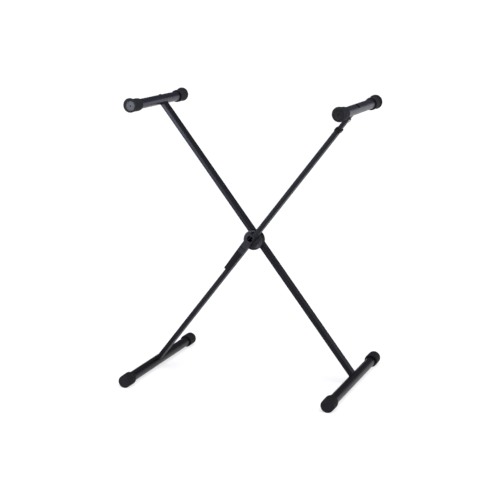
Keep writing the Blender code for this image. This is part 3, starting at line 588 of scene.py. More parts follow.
def plated(name, light, dark, shine):
    """Plated or ground steel with fine tool marks and dull patches."""
    n = Finish(name)
    marks = n.noise(900, 4.0, 0.6, where=n.stretched((1.0, 0.12, 1.0)))
    patches = n.noise(120, 4.0, 0.6)
    pits = n.span(n.noise(1400, 2.0), 0.0, 1.0, 0.70, 0.80)
    worn = n.edges(0.0004, 0.03, 0.35)
    normal = n.bump(marks, 0.000008)
    normal = n.bump(pits, -0.000012, normal=normal)
    tone = n.mix(n.span(patches, 0.0, 1.0, 0.35, 0.70), light, dark)
    tone = n.mix(n.maths("MULTIPLY", pits, 0.7), tone, (0.10, 0.10, 0.11, 1))
    tone = n.mix(n.maths("MULTIPLY", worn, 0.4), tone, (0.74, 0.74, 0.76, 1))
    rough = n.maths("ADD", n.span(patches, shine, shine + 0.14, 0.3, 0.7),
                    n.span(marks, -0.05, 0.07))
    return n.set(Base_Color=tone, Roughness=rough, Normal=normal, Metallic=1.0)


FINISHES = {
    "black_enamel": enamel("stoved_enamel", 0.40),
    "tube_enamel": enamel("tube_enamel", 0.15),
    "arm_enamel": enamel("arm_enamel", 0.10, (0.0012, 0.0009, 0.0058, 1),
                         (0.0024, 0.0018, 0.0082, 1), 0.46, tint=(0.74, 0.70, 1.0, 1)),
    # The bracket enamel is the black enamel made paler: painted light for the yoke and lever
    # channel, which face the light differently.
    "bracket_enamel": enamel("bracket_enamel", 0.40, (0.0075, 0.0075, 0.0098, 1),
                             (0.0115, 0.0112, 0.0140, 1)),
    # The drum enamel is the black enamel made much paler: painted light standing in for the
    # reflections on the drum's faces.
    "drum_enamel": enamel("drum_enamel", 0.95, (0.0240, 0.0235, 0.0265, 1),
                          (0.0390, 0.0380, 0.0420, 1), 0.34, True),
    # One rubber in two copies: the arm caps' is painted lighter and the foot caps' darker, for the
    # light that falls higher up.
    "black_rubber": rubber("foot_rubber", (0.0083, 0.0085, 0.0098, 1),
                           (0.0131, 0.0134, 0.0154, 1)),
    "arm_rubber": rubber("arm_rubber", (0.0140, 0.0142, 0.0160, 1),
                         (0.0215, 0.0218, 0.0245, 1)),
    "black_plastic": plastic("grained_plastic", (0.0030, 0.0031, 0.0038, 1), 0.48, 0.09),
    "end_plug_plastic": plastic("plug_plastic", (0.0045, 0.0046, 0.0056, 1), 0.22, 0.17,
                                0.000005),
    "zinc_steel": plated("zinc_plate", (0.60, 0.61, 0.64, 1), (0.47, 0.46, 0.43, 1), 0.28),
    "hub_steel": plated("ground_steel", (0.30, 0.30, 0.32, 1), (0.20, 0.195, 0.19, 1), 0.34),
}


def dress(piece, body, finish, angle=32):
    """Smooths a piece and gives it its finish and its body.

    A fine piece stands for the solid it is named after.
    """
    shade(piece, angle)
    piece.data.materials.clear()
    piece.data.materials.append(FINISHES[finish])
    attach(piece, body)
    if piece.name.startswith("fine_"):
        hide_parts(piece.name.removeprefix("fine_"))


# ---------------- tubes and caps

def round_tube(name, half, place):
    inside = TUBE_R - TUBE_WALL
    outline = fillet([(TUBE_R, half), (TUBE_R, -half), (inside, -half), (inside, half)],
                     TUBE_EDGE, 3)
    return turned(name, outline, place)


def foot_tube(prefix, body, at):
    tube = round_tube(f"fine_{prefix}_foot_tube", FOOT_HALF - FOOT_CAP_END - GAP,
                      at @ moved(0, 0, -HALF) @ TO_BACK)
    dress(tube, body, "tube_enamel")


def foot_cap(prefix, body, at, side, extra, shoulder):
    """Thick rubber cup with soft shoulders and a flat worn underneath."""
    where, turn = ENDS[side]
    raised = extra / 2
    radius = FOOT_CAP_R + raised
    depth = FOOT_CAP_LENGTH - FOOT_CAP_END
    outline = fillet([(0, FOOT_CAP_LENGTH), (radius - 0.0062, FOOT_CAP_LENGTH),
                      (radius - 0.0004, FOOT_CAP_LENGTH - 0.0007),
                      (radius, 0.0185), (radius, 0.0), (BORE_R, 0.0), (BORE_R, depth),
                      (0, depth)],
                     [0, 0.006, shoulder, 0.02, 0.0010, 0.0006, 0.0004, 0], 8)
    axis = at @ Vector((0, 0, -HALF)) + Vector((0, 0, raised))
    inner = side * (FOOT_HALF - FOOT_CAP_LENGTH)
    place = Matrix.Translation(axis + Vector((0, inner, 0))) @ turn
    cap = turned(f"fine_{prefix}_foot_cap_{where}", outline, place)
    for vert in cap.data.vertices:
        vert.co.z = max(vert.co.z, 0.0)
    dress(cap, body, "black_rubber", 40)


def arm_cap(prefix, body, at, side):
    """Rubber sleeve that swells into a lip, its top flattened where the keyboard rests."""
    where = ENDS[side][0]
    inner = ARM_HALF - ARM_CAP_LENGTH
    end = ARM_CAP_LENGTH
    face = end - LIP_THICK
    rise = LIP_HEIGHT / 2
    edge = 0.0011
    soft = 0.0014
    drop = 0.0004
    rows = [(BORE_R + 0.0004, 0.0, 0.0), (ARM_CAP_R - soft, 0.0, 0.0)]
    rows += [(ARM_CAP_R - soft + soft * sin(t), 0.0, soft * (1 - cos(t)))
             for t in quarter(6)[1:]]
    rows += [(ARM_CAP_R - ARM_TAPER * k / 8, 0.0, face * k / 8) for k in range(1, 8)]
    hollow = 0.0009
    slim = ARM_CAP_R - ARM_TAPER
    rows += [(slim + hollow * (1 - cos(t)), rise * 0.20 * (1 - cos(t)),
              face - hollow + hollow * sin(t)) for t in quarter(5)]
    rows += [(LIP_R - edge + edge * sin(t), rise - drop * (1 - sin(t)),
              face + edge * (1 - cos(t))) for t in quarter(6)]
    rows += [(LIP_R - edge + edge * cos(t), rise - drop * (1 - cos(t)),
              end - edge * (1 - sin(t))) for t in quarter(6)]
    rows += [(BORE_R + 0.0006, 0.0, end), (BORE_R + 0.0002, 0.0, end - 0.0002),
             (BORE_R, 0.0, end - 0.0006), (BORE_R, 0.0, 0.0004)]
    rings = [[(radius * cos(t), side * (inner + along), HALF + up + radius * sin(t))
              for t in around(ROUND_STEPS)] for radius, up, along in rows]
    cap = skin(f"fine_{prefix}_arm_cap_{where}", rings, at, loop=True)
    rest = ARM_Z + ARM_CAP_R - ARM_REST_FLAT
    limit = inner + face - 0.0012
    for vert in cap.data.vertices:
        if side * (vert.co.y - FOOT_SHIFT / 2) < limit:
            vert.co.z = min(vert.co.z, rest)
    dress(cap, body, "arm_rubber", 40)


def end_plug(prefix, body, at, side):
    """Plug in the tube's end: a raised rim, a shallow dish and a centre hole."""
    where, turn = ENDS[side]
    face = ARM_HALF - PLUG_RECESS
    seat = face - PLUG_THICK
    core = TUBE_R - TUBE_WALL - GAP
    hole = 0.0014
    dish = face - 0.0005
    tail = seat - 0.0080
    hollow = core - 0.0015
    outline = fillet([(hole, seat), (hole, dish), (TUBE_R - 0.0026, dish),
                      (TUBE_R - 0.0021, face), (TUBE_R, face), (TUBE_R, seat), (core, seat),
                      (core, tail), (hollow, tail), (hollow, seat)],
                     [0.0003, 0.0005, 0.0004, 0.0003, 0.0007, 0.0002, 0.0002, 0.0004, 0.0002,
                      0.0002])
    place = at @ moved(0, 0, HALF) @ turn
    plug = turned(f"fine_{prefix}_arm_end_plug_{where}", outline, place)
    dress(plug, body, "end_plug_plastic")


def arm_tube(prefix, body, at, plug_y):
    tube = round_tube(f"fine_{prefix}_arm_tube", ARM_HALF - PLUG_RECESS - PLUG_THICK - GAP,
                      at @ moved(0, 0, HALF) @ TO_BACK)
    drill(tube, ARM_HOLE_R, TUBE_R, at @ moved(0, plug_y, HALF + TUBE_R), 72)
    dress(tube, body, "arm_enamel")


def hole_plug(prefix, body, at, plug_y):
    """Push-in plug whose flange is saddled to the arm tube."""
    top = TUBE_R + 0.0013
    rim = ARM_HOLE_R + 0.0016
    stem = ARM_HOLE_R - GAP
    base = sqrt(TUBE_R ** 2 - rim ** 2) - 0.0015
    outline = fillet([(0, top), (0.0034, top - 0.0001), (rim - 0.0008, top - 0.0008),
                      (rim, top - 0.0022), (rim, base), (stem, base), (stem, base - 0.0010),
                      (0, base - 0.0010)],
                     [0, 0.004, 0.0010, 0.0010, 0, 0, 0.0004, 0])
    at_plug = at @ moved(0, plug_y, HALF)
    plug = turned(f"fine_{prefix}_arm_hole_plug", outline, at_plug, 72)
    flange = turned("cutter", [(BORE_R, -0.02), (BORE_R, 0.02), (0, 0.02), (0, -0.02)][::-1],
                    at_plug @ TO_BACK, 144)
    drill(flange, stem, 0.04, at_plug, 72)
    cut(plug, flange)
    dress(plug, body, "black_plastic")


def saddle_weld(name, body, at, y, sign, width, depth, radius):
    """Rippled weld bead where a leg meets a tube."""
    outline = rounded(width, depth, radius, 10)
    dense = []
    for (ax, ay), (bx, by) in zip(outline, outline[1:] + outline[:1]):
        pieces = max(1, round(hypot(bx - ax, by - ay) / WELD_STEP))
        for k in range(pieces):
            share = k / pieces
            dense.append((ax + share * (bx - ax), ay + share * (by - ay)))
    path, outward, sizes = [], [], []
    run = 0.0
    thick, ripple, apart, uneven, sunk = 0.00125, 0.00010, 0.0013, 0.00018, 0.0002
    for i, (x, along) in enumerate(dense):
        z = sign * (HALF - sqrt(TUBE_R ** 2 - x ** 2))
        before = dense[i - 1]
        run += hypot(x - before[0], along - before[1])
        path.append((x, y + along, z - sign * sunk))
        corner = Vector((max(abs(x) - width / 2 + radius, 0) * (1 if x > 0 else -1),
                         max(abs(along) - depth / 2 + radius, 0) * (1 if along > 0 else -1),
                         0))
        outward.append(corner.normalized() + Vector((0, 0, -0.4 * sign)))
        wobble = noise.noise(Vector((x * WELD_LUMPS, along * WELD_LUMPS, sign * 3.0 + y * 50)))
        sizes.append(thick + ripple * sin(2 * pi * run / apart) + uneven * wobble)
    bead = rope(name, path, sizes, at, True, outward)
    dress(bead, body, "black_enamel", 80)


def straight_weld(name, body, at, start, end, thick, seed):
    """Short rippled fillet weld between two points."""
    start, end = Vector(start), Vector(end)
    steps = max(12, round((end - start).length / WELD_STEP))
    path, sizes = [], []
    ripple, apart, uneven = 0.00009, 0.0012, 0.00015
    for k in range(steps + 1):
        share = k / steps
        run = share * (end - start).length
        taper = min(1.0, 6 * share, 6 * (1 - share)) ** 0.5 if 0 < share < 1 else 0.15
        wobble = noise.noise(Vector((run * WELD_LUMPS, seed, 0.0)))
        path.append(start.lerp(end, share))
        sizes.append(taper * (thick + ripple * sin(2 * pi * run / apart) + uneven * wobble))
    dress(rope(name, path, sizes, at), body, "black_enamel", 80)


# ---------------- legs

def coped(sign, radius):
    """Height of a leg's end that fits round a tube."""
    return lambda x: sign * (HALF - sqrt(radius ** 2 - x ** 2))


def rear_leg():
    leg = sleeve("fine_rear_leg_tube", LEG_WIDTH, LEG_DEPTH, LEG_CORNER, LEG_WALL,
                 coped(-1, BORE_R), coped(1, BORE_R), REAR_LEG)
    # Turned a little, so that no corner of the hole lies on an edge of the tube
    turned_a_little = TO_BACK @ Matrix.Rotation(0.05, 4, "Z")
    drill(leg, HOLE_R, 0.04, REAR_LEG @ turned_a_little)
    side = moved(LEG_WIDTH / 2, LEG_OFFSET, STOP_Z) @ TO_X
    drill(leg, SIDE_HOLE_R, LEG_WIDTH / 2, REAR @ side)
    dress(leg, "rear_leg", "black_enamel")
    foot_tube("rear", "rear_leg", REAR)
    arm_tube("rear", "rear_leg", REAR, LEG_OFFSET)
    hole_plug("rear", "rear_leg", REAR, LEG_OFFSET)
    for sign, where in ((-1, "foot"), (1, "arm")):
        saddle_weld(f"rear_{where}_weld", "rear_leg", REAR, LEG_OFFSET, sign,
                    LEG_WIDTH, LEG_DEPTH, LEG_CORNER)
    for side in (-1, 1):
        foot_cap("rear", "rear_leg", REAR, side, FOOT_RUBBER_HIGH, 0.0022)
        arm_cap("rear", "rear_leg", REAR, side)
        end_plug("rear", "rear_leg", REAR, side)

    base = LEG_WIDTH / 2 + GAP
    stem = SIDE_HOLE_R - GAP
    outline = fillet([(0, base + 0.0013), (SIDE_HOLE_R, base + 0.0010),
                      (SIDE_HOLE_R + 0.0016, base), (stem, base), (stem, base - 0.0030),
                      (0, base - 0.0030)], [0, 0.0015, 0.0003, 0.0002, 0.0005, 0])
    plug = turned("fine_rear_leg_side_plug", outline,
                  REAR @ moved(0, LEG_OFFSET, STOP_Z) @ TO_X, 64)
    dress(plug, "rear_leg", "black_plastic")


def front_leg():
    leg = sleeve("fine_front_leg_tube", LEG_WIDTH, LEG_DEPTH, LEG_CORNER, LEG_WALL,
                 coped(-1, BORE_R), LEG_TOP, FRONT_LEG)
    drill(leg, HOLE_R, 0.01, FRONT @ moved(0, LEG_BACK, 0) @ TO_BACK)
    opening = moved(-WINDOW_SHIFT, LEG_FRONT, WINDOW_Z) @ TO_BACK
    drill(leg, WINDOW_R - GAP, LEG_DEPTH, FRONT @ opening, 96)
    dress(leg, "front_leg", "black_enamel")
    foot_tube("front", "front_leg", FRONT_FOOT)
    saddle_weld("front_foot_weld", "front_leg", FRONT, -LEG_OFFSET, -1, LEG_WIDTH, LEG_DEPTH,
                LEG_CORNER)
    for side in (-1, 1):
        foot_cap("front", "front_leg", FRONT_FOOT, side, 0, 0.0034)


def collar():
    """Moulded collar on the open end of the front leg, with rounded lips."""
    bottom = LEG_TOP - COLLAR_BELOW
    top = LEG_TOP + COLLAR_ABOVE
    out = COLLAR_WALL + GAP
    edge = 0.0006
    ease = 0.0002
    rows = [(-out + edge * (1 - cos(t)), top - edge * (1 - sin(t))) for t in quarter(4)]
    rows += [(LEG_WALL - ease, top), (LEG_WALL, top - ease), (LEG_WALL, LEG_TOP + GAP),
             (-GAP, LEG_TOP + GAP), (-GAP, bottom + ease), (-GAP - ease, bottom)]
    rows += [(-out + edge * (1 - sin(t)), bottom + edge * (1 - cos(t))) for t in quarter(4)]
    rings = []
    for move_in, z in rows:
        points = rounded(LEG_WIDTH - 2 * move_in, LEG_DEPTH - 2 * move_in,
                         max(LEG_CORNER - move_in, 0.0004))
        rings.append([(x, y, z) for x, y in points])
    dress(skin("fine_height_collar", rings, FRONT_LEG, loop=True), "front_leg", "black_plastic")


def front_arm():
    width = INNER_WIDTH - 2 * GAP
    depth = INNER_DEPTH - 2 * GAP
    insert = sleeve("fine_insert_tube", width, depth, LEG_CORNER - LEG_WALL, INSERT_WALL,
                    LEG_TOP - INSERT_DEPTH, coped(1, BORE_R), FRONT_LEG, 0.0002)
    drill(insert, STOP_R + GAP, LEG_DEPTH, STOP_HOLE)
    dress(insert, "front_arm", "black_enamel")
    arm_tube("front", "front_arm", FRONT, -LEG_OFFSET)
    hole_plug("front", "front_arm", FRONT, -LEG_OFFSET)
    saddle_weld("front_arm_weld", "front_arm", FRONT, -LEG_OFFSET, 1, width, depth,
                LEG_CORNER - LEG_WALL)
    for side in (-1, 1):
        arm_cap("front", "front_arm", FRONT, side)
        end_plug("front", "front_arm", FRONT, side)

    near = width / 2 + GAP
    end = near + STOP_NUT_H + 0.0008
    head = -near
    outline = [(0, head - 0.0023), (STOP_R + 0.0004, head - 0.0020),
               (STOP_R + 0.0015, head - 0.0010), (STOP_R + 0.0018, head)]
    outline = fillet(outline, [0, 0.0012, 0.0012, 0])
    outline.append((STOP_R, head))
    outline += thread_rows(STOP_R, head, end, STOP_PITCH)
    outline += [(STOP_R - 0.0004, end), (0, end)]
    bolt = turned("fine_stop_bolt", outline, STOP_HOLE, 48,
                  thread_shape(STOP_R, head, STOP_PITCH))
    dress(bolt, "front_arm", "zinc_steel", 50)
    nut = hex_nut("fine_stop_nut", 2.5 * STOP_R, STOP_R + GAP, near, near + STOP_NUT_H,
                  STOP_HOLE)
    dress(nut, "front_arm", "zinc_steel", 25)


def thread_rows(radius, start, end, pitch):
    count = int((end - start) / (pitch / 6))
    return [(radius, start + (end - start) * k / count) for k in range(1, count)]


def thread_shape(radius, start, pitch):
    """Helical groove on the part of a bolt beyond its start."""
    depth = 0.5 * pitch

    def shape(r, h, t):
        if h <= start + 1e-6 or abs(r - radius) > 1e-6:
            return r
        share = (h / pitch - t / (2 * pi)) % 1.0
        return r - depth * abs(2 * share - 1) ** 1.2
    return shape


def hex_nut(name, corner, bore, low, high, place):
    """Hexagon nut with turned chamfers and a chamfered bore."""
    flat = corner * cos(pi / 6)
    easy = 0.5 * (corner + flat)

    def shape(r, h, t):
        if r < corner:
            return r
        reach = flat / cos((t % (pi / 3)) - pi / 6)
        return min(reach, easy + min(h - low, high - h) * 1.8)

    shares = (0, 0.03, 0.06, 0.10, 0.15, 0.25, 0.75, 0.85, 0.90, 0.94, 0.97, 1)
    outline = [(corner, low + (high - low) * share) for share in shares]
    edge = 0.0004
    outline += [(bore + edge, high), (bore, high - edge), (bore, low + edge), (bore + edge, low)]
    return turned(name, outline, place, shape=shape)


# ---------------- hub

def rear_hub():
    outline = fillet([(HOLE_R, REAR_PLATE_BACK), (DRUM_R, REAR_PLATE_BACK),
                      (DRUM_R, REAR_PLATE_FRONT), (HOLE_R, REAR_PLATE_FRONT)],
                     [0.0003, 0.0016, 0.0005, 0.0003], 6)
    plate = turned("fine_rear_hub_plate", outline, REAR @ TO_BACK, 144)
    dress(plate, "rear_leg", "drum_enamel")
    reach = 0.75 * sqrt(DRUM_R ** 2 - (LEG_WIDTH / 2) ** 2)
    for side, where in ((-1, "lower"), (1, "upper")):
        x = side * (LEG_WIDTH / 2 + 0.0001)
        y = REAR_PLATE_BACK + 0.0003
        straight_weld(f"rear_hub_weld_{where}", "rear_leg", REAR, (x, y, -reach),
                      (x, y, reach), 0.0011, side * 7.0)

    seat = LEG_BACK - LEG_WALL - GAP
    leg_rear = LEG_OFFSET + LEG_DEPTH / 2
    nut_front = leg_rear + GAP + PLATE + GAP
    nut_back = nut_front + NUT_H
    bolt_end = nut_back + 0.0022
    outline = [(0, seat - BOLT_HEAD_H), (BOLT_HEAD_R, seat - BOLT_HEAD_H), (BOLT_HEAD_R, seat)]
    outline = fillet(outline, [0, 0.0006, 0], 4)
    thread_from = nut_front - 0.0040
    outline += [(BOLT_R, seat), (BOLT_R, thread_from)]
    outline += thread_rows(BOLT_R, thread_from, bolt_end, BOLT_PITCH)
    outline += [(BOLT_R - 0.0006, bolt_end), (0, bolt_end)]
    bolt = turned("fine_pivot_bolt", outline, REAR @ TO_BACK, 60,
                  thread_shape(BOLT_R, thread_from, BOLT_PITCH))
    drill(bolt, 0.66 * BOLT_HEAD_R, BOLT_HEAD_H,
          REAR @ moved(0, seat - BOLT_HEAD_H, 0) @ TO_BACK, 6)
    dress(bolt, "rear_leg", "zinc_steel", 50)
    nut = hex_nut("fine_pivot_nut", NUT_R, HOLE_R, nut_front, nut_back, REAR @ TO_BACK)
    dress(nut, "rear_leg", "zinc_steel", 25)
    washer_r = NUT_R + 0.0004
    outline = fillet([(HOLE_R, leg_rear + GAP + PLATE), (washer_r, leg_rear + GAP + PLATE),
                      (washer_r, leg_rear + GAP), (HOLE_R, leg_rear + GAP)], 0.0003, 3)
    washer = turned("fine_pivot_washer", outline, REAR @ TO_BACK, 72)
    dress(washer, "rear_leg", "zinc_steel")


def hub_cup():
    """Front half of the drum: rolled rim, ring-shaped dish and the lock bolt's guide."""
    dish = DRUM_FRONT + DRUM_DISH
    inside = DRUM_R - DRUM_WALL
    rim = DRUM_R - 0.0038
    boss = 0.0088
    outline = fillet([(inside, CUP_BACK), (DRUM_R, CUP_BACK), (DRUM_R, DRUM_FRONT),
                      (rim, DRUM_FRONT), (rim - 0.0010, DRUM_FRONT + DISH_EDGE),
                      (boss + 0.0012, dish), (boss, DRUM_FRONT), (HOLE_R, DRUM_FRONT),
                      (HOLE_R, CUP_INSIDE), (inside, CUP_INSIDE)],
                     [0.0004, 0.0005, 0.0017, 0.0007, 0.0010, 0.0014, 0.0006, 0.0003, 0.0002,
                      0.0010], 6)
    cup = turned("fine_hub_cup", outline, FRONT @ TO_BACK, 144)
    wall = LOCK_WIDTH / 2 + 0.0025
    left, right = -LOCK_SHIFT - wall, -LOCK_SHIFT + wall
    shape = fillet([(left, GUIDE_BOTTOM), (right, GUIDE_BOTTOM), (right, -DRUM_R + 0.0018),
                    (left, -DRUM_R + 0.0018)], [0.0010, 0.0010, 0, 0])
    cut(cup, slab("cutter", shape, LOCK_FRONT - 0.0033, CUP_BACK, FRONT, 0.0006), "UNION")
    half = LOCK_WIDTH / 2 + GAP
    cut(cup, block((-LOCK_SHIFT - half, LOCK_FRONT - GAP, GUIDE_BOTTOM - 0.01),
                   (-LOCK_SHIFT + half, LOCK_BACK + GAP, -DRUM_R / 2)))
    dress(cup, "front_leg", "drum_enamel")


def hub_yoke():
    """Pressed bracket over the front leg, with a round window above the pivot."""
    corner = 0.0060
    low = -YOKE_BELOW - TRIM
    outline = fillet([(FLANGE_EDGE, low), (FLANGE_EDGE, YOKE_ABOVE), (-YOKE_SIDE, YOKE_ABOVE),
                      (-YOKE_SIDE, low)], [0, corner, corner, 0], 10)
    yoke = slab("fine_hub_yoke", outline, FLANGE_FRONT, DRUM_FRONT - GAP, FRONT, 0.0011, 5)
    cut(yoke, block((-FAR, -FAR, low - 0.01), (FAR, FAR, -YOKE_BELOW)))
    cut(yoke, block((-YOKE_SIDE + PLATE, FLANGE_FRONT + PLATE, -2 * DRUM_R),
                    (DRUM_R, DRUM_R, 2 * DRUM_R)))
    window = moved(-WINDOW_SHIFT, FLANGE_FRONT + PLATE / 2, WINDOW_Z) @ TO_BACK
    ease = 0.00035
    outer = -PLATE / 2
    outline = [(0, outer - 0.001), (WINDOW_R + ease + 0.001, outer - 0.001),
               (WINDOW_R, outer + ease), (WINDOW_R, 3 * PLATE), (0, 3 * PLATE)]
    cut(yoke, turned("cutter", outline, FRONT @ window, 96))
    dress(bevel(yoke), "front_leg", "bracket_enamel")


def lever_hinge():
    ear_r = PIN_RISE - GAP
    root = -LEG_WIDTH / 2 - GAP
    outline = [(root, PIN_Z - EAR_REACH), (root, PIN_Z + EAR_REACH)]
    outline += arc((PIN_X, PIN_Z), ear_r, 80, 280, 28)
    for where, middle in (("front", -EAR_PLACE), ("back", EAR_PLACE)):
        ear = slab(f"fine_lever_hinge_ear_{where}", outline, middle - EAR_THICK / 2 - LEG_OFFSET,
                   middle + EAR_THICK / 2 - LEG_OFFSET, FRONT, 0.0004, 3)
        drill(ear, PIN_R + GAP, LEG_DEPTH, PIN_HOLE)
        dress(ear, "front_leg", "black_enamel")

    head_r = 0.0024
    head = 0.0009
    front_face = FLANGE_FRONT - GAP
    back_face = CHANNEL_BACK + GAP
    outline = fillet([(0, back_face + head), (head_r, back_face + head), (head_r, back_face),
                      (PIN_R, back_face), (PIN_R, front_face), (head_r, front_face),
                      (head_r, front_face - head), (0, front_face - head)],
                     [0, 0.0006, 0.0001, 0.0001, 0.0001, 0.0001, 0.0006, 0])
    place = FRONT @ moved(PIN_X, 0, PIN_Z) @ TO_BACK
    dress(turned("fine_lever_pin", outline, place, 64), "front_leg", "black_enamel")

    wire = 0.0003
    mean = PIN_R + GAP + wire
    turns = 7
    pitch = 0.0011
    per_turn = 28
    start = -LEG_OFFSET - turns * pitch / 2
    path = [(mean, start, -0.0090), (mean, start, -0.0045)]
    for i in range(int((turns + 0.5) * per_turn) + 1):
        t = 2 * pi * i / per_turn
        path.append((mean * cos(t), start + pitch * i / per_turn, mean * sin(t)))
    last = path[-1]
    path += [(last[0], last[1], last[2] - 0.0015), (last[0], last[1], last[2] - 0.0030)]
    spring = rope("fine_lever_spring", path, wire, FRONT @ moved(PIN_X, 0, PIN_Z))
    dress(spring, "front_leg", "zinc_steel", 60)


# ---------------- lever

def side_at(z):
    """Outer face of the lever's back, from the leg's centre line, at height z."""
    share = (z - LEVER_TOP) / (LEVER_END - LEVER_TOP)
    return LEG_WIDTH / 2 + LEVER_RISE_TOP + share * (LEVER_RISE_END - LEVER_RISE_TOP)


def lever_shell(name, top, bottom, thickness, end_wall):
    """U-section along the lever between two heights."""
    corner = 0.0035 if end_wall else 0
    high = top + TRIM
    low = bottom if end_wall else bottom - TRIM
    outline = fillet([(FLANGE_EDGE, high), (-side_at(high), high), (-side_at(low), low),
                      (FLANGE_EDGE, low)], [0, 0, corner, corner], 8)
    shell = slab(name, outline, FLANGE_FRONT, CHANNEL_BACK, FRONT, 0.0013, 6)
    cut(shell, block((-FAR, -FAR, top), (FAR, FAR, high + 0.01)))
    if not end_wall:
        cut(shell, block((-FAR, -FAR, low - 0.01), (FAR, FAR, bottom)))
    floor = bottom + thickness if end_wall else bottom - 0.01
    hollow = [(0.03, top + 0.01), (-side_at(top + 0.01) + thickness, top + 0.01),
              (-side_at(floor) + thickness, floor), (-LEG_WIDTH / 2 - GAP, floor),
              (-LEG_WIDTH / 2 - GAP, bottom - 0.01), (0.03, bottom - 0.01)]
    return cut(shell, slab("cutter", hollow, LEG_FRONT - GAP, LEG_BACK + GAP, FRONT))


def lever():
    channel = lever_shell("fine_lever_channel", LEVER_TOP, CHANNEL_END, PLATE, False)
    outer = GRIP_WALL + GAP
    inner = outer + TONGUE_THICK
    tip = LEVER_END + TONGUE_SHORT
    root = CHANNEL_END + 0.0025
    tongue = [(-side_at(CHANNEL_END) + PLATE / 2, root),
              (-side_at(CHANNEL_END) + PLATE / 2, CHANNEL_END),
              (-side_at(CHANNEL_END) + outer, CHANNEL_END),
              (-side_at(tip) + outer, tip), (-side_at(tip) + inner, tip),
              (-side_at(root) + inner, root)]
    cut(channel, slab("cutter", tongue, -LEG_OFFSET - TONGUE_HALF, -LEG_OFFSET + TONGUE_HALF,
                      FRONT), "UNION")
    drill(channel, DRUM_R + DRUM_ROOM, 3 * PLATE,
          FRONT @ moved(0, CHANNEL_BACK, 0) @ TO_BACK, 192)
    drill(channel, PIN_R + GAP, 2 * LEG_DEPTH, PIN_HOLE)
    width = 2 * (LINK_R + GAP)
    slot = [(LINK_X + LINK_TRAVEL / 2 + x, LINK_Z + z)
            for x, z in rounded(LINK_TRAVEL + width, width, width / 2 * 0.98, 10)]
    cut(channel, slab("cutter", slot, CHANNEL_BACK - 2 * PLATE, CHANNEL_BACK + PLATE, FRONT))
    grip = lever_shell("fine_lever_grip", CHANNEL_END - GAP, LEVER_END, GRIP_WALL, True)
    part = (CHANNEL_END - tip) / 4
    head, neck, foot = 0.0015, 0.0008, 0.0010    # the rivet's ends, past its stem
    for where, z in (("upper", CHANNEL_END - part), ("lower", tip + part)):
        place = FRONT @ moved(-side_at(z), -LEG_OFFSET, z) @ TO_X
        for piece in (channel, grip):
            drill(piece, RIVET_R + GAP, 0.012, place)
        out = side_at(z) + GAP
        tail = side_at(z) - GRIP_WALL - TONGUE_THICK - 2 * GAP
        outline = fillet([(0, out + 0.0010), (RIVET_R + neck, out + 0.0008),
                          (RIVET_R + head, out), (RIVET_R, out), (RIVET_R, tail),
                          (RIVET_R + foot, tail), (RIVET_R + foot, tail - 0.0006),
                          (0, tail - 0.0006)],
                         [0, 0.0012, 0.0002, 0.0001, 0.0001, 0.0001, 0.0003, 0])
        place = FRONT @ moved(0, -LEG_OFFSET, z) @ TO_MINUS_X
        rivet = turned(f"fine_grip_rivet_{where}", outline, place, 64)
        dress(rivet, "lever", "zinc_steel")
    dress(bevel(channel), "lever", "bracket_enamel")
    dress(bevel(grip), "lever", "black_plastic")


rear_leg()
rear_hub()
front_leg()
collar()
front_arm()
hub_cup()
hub_yoke()
lever_hinge()
lever()

for node, finish in (("ratchet_disc", "hub_steel"), ("thrust_washer", "zinc_steel"),
                     ("lock_bolt", "hub_steel"), ("link_pin", "zinc_steel")):
    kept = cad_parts[node]
    kept.data.materials.clear()
    kept.data.materials.append(FINISHES[finish])


# ---------------- studio

FLOOR_SIZE = 400
FLOOR_DROP = 0.0002      # below the feet
FLOOR_TONE = (0.90, 0.90, 0.90, 1)
FLOOR_GLOW = 1.12        # strength of its own white
GLOW_SHARE = 0.60        # how much of what is seen is that white
SKY = [(0.0, 1.0), (0.035, 1.0), (0.11, 0.26), (0.20, 0.13), (0.60, 0.17), (0.80, 0.5)]
SKY_TINT = (0.97, 0.985, 1.12)
SKY_SIDES = (0.50, 1.60)   # strength at the left and at the right
SKY_TURN = 0.45            # reached this far to each side
HORIZON = (0.030, 0.060)   # below the first height the sky is the same all round
SUN_STRENGTH = 2.6
SUN_SPREAD = radians(70)
SUN_TURN = (radians(18), radians(18), 0)
BOX_WIDTH, BOX_HEIGHT = 1.3, 1.2
BOX_RADIANCE = 13.0
BOX_COLOUR = (0.90, 0.93, 1.10)
BOX_AT = (-1.90, -2.85, 0.68)
BOX_AIM = Vector((0, 0, 0.5))
LENS = 90.36
SENSOR = 36
FARTHEST = 600
CAMERA_AT = (1.24159, -3.27463, 1.15079)
CAMERA_TURN = (1.352689, -0.002328, 0.365756)


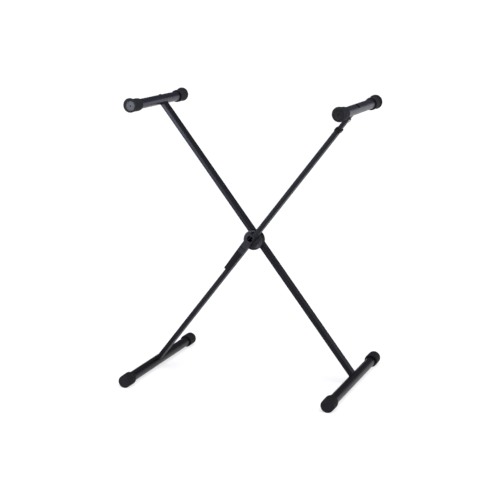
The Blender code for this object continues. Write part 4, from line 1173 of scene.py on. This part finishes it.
def studio_floor():
    """Large white floor; part of its white is its own, so that the shadow stays faint."""
    bpy.ops.mesh.primitive_plane_add(size=FLOOR_SIZE, location=(0, 0, -FLOOR_DROP))
    floor = bpy.context.object
    floor.name = "studio_floor"
    n = Nodes(bpy.data.materials.new("studio_floor"))
    n.tree.nodes.clear()
    matt = n.add("ShaderNodeBsdfDiffuse", {"Color": FLOOR_TONE}).outputs[0]
    own = n.add("ShaderNodeEmission", {"Color": (1, 1, 1, 1), "Strength": FLOOR_GLOW}).outputs[0]
    white = n.add("ShaderNodeMixShader", {0: GLOW_SHARE, 1: matt, 2: own}).outputs[0]
    rays = n.add("ShaderNodeLightPath").outputs
    seen = n.maths("MAXIMUM", rays["Is Camera Ray"], rays["Is Glossy Ray"])
    seen = n.maths("MAXIMUM", seen, rays["Is Transmission Ray"])
    choose = n.add("ShaderNodeMixShader", {0: seen, 1: matt, 2: white}).outputs[0]
    n.add("ShaderNodeOutputMaterial", {0: choose})
    floor.data.materials.append(n.owner)


def studio_world():
    """White near the horizon, dim higher up and to the left, as in a room with a pale sweep."""
    n = Nodes(bpy.data.worlds.new("studio"))
    bpy.context.scene.world = n.owner
    parts = n.separate(n.add("ShaderNodeTexCoord").outputs["Generated"])
    ramp = n.add("ShaderNodeValToRGB", {0: parts["Z"]})
    side = n.span(parts["X"], *SKY_SIDES, -SKY_TURN, SKY_TURN)
    above = n.span(parts["Z"], 0.0, 1.0, *HORIZON)
    strength = n.add("ShaderNodeMix", {"Factor": above, "A": 1.0, "B": side}, data_type="FLOAT")
    back = n.tree.nodes["Background"].inputs
    n.put(back["Color"], ramp.outputs[0])
    n.put(back["Strength"], strength.outputs["Result"])
    band = ramp.color_ramp
    band.interpolation = "EASE"
    while len(band.elements) < len(SKY):
        band.elements.new(0.5)
    for element, (place, level) in zip(band.elements, SKY):
        element.position = place
        element.color = [level * part for part in SKY_TINT] + [1]


def lamps():
    sun = bpy.data.lights.new("overhead", "SUN")
    sun.energy = SUN_STRENGTH
    sun.angle = SUN_SPREAD
    put_in(bpy.data.objects.new("overhead", sun)).rotation_euler = SUN_TURN

    box = bpy.data.lights.new("front_left", "AREA")
    box.shape = "RECTANGLE"
    box.size = BOX_WIDTH
    box.size_y = BOX_HEIGHT
    box.energy = BOX_RADIANCE * BOX_WIDTH * BOX_HEIGHT * pi
    box.color = BOX_COLOUR
    front_left = put_in(bpy.data.objects.new("front_left", box))
    front_left.location = BOX_AT
    front_left.rotation_euler = (BOX_AIM - front_left.location).to_track_quat("-Z", "Y").to_euler()


def camera():
    data = bpy.data.cameras.new("photo_camera")
    data.lens = LENS
    data.sensor_width = SENSOR
    data.clip_end = FARTHEST
    seen = put_in(bpy.data.objects.new("photo_camera", data))
    seen.location = CAMERA_AT
    seen.rotation_euler = CAMERA_TURN
    bpy.context.scene.camera = seen


studio_floor()
studio_world()
lamps()
camera()
bpy.context.scene.view_settings.view_transform = "Standard"
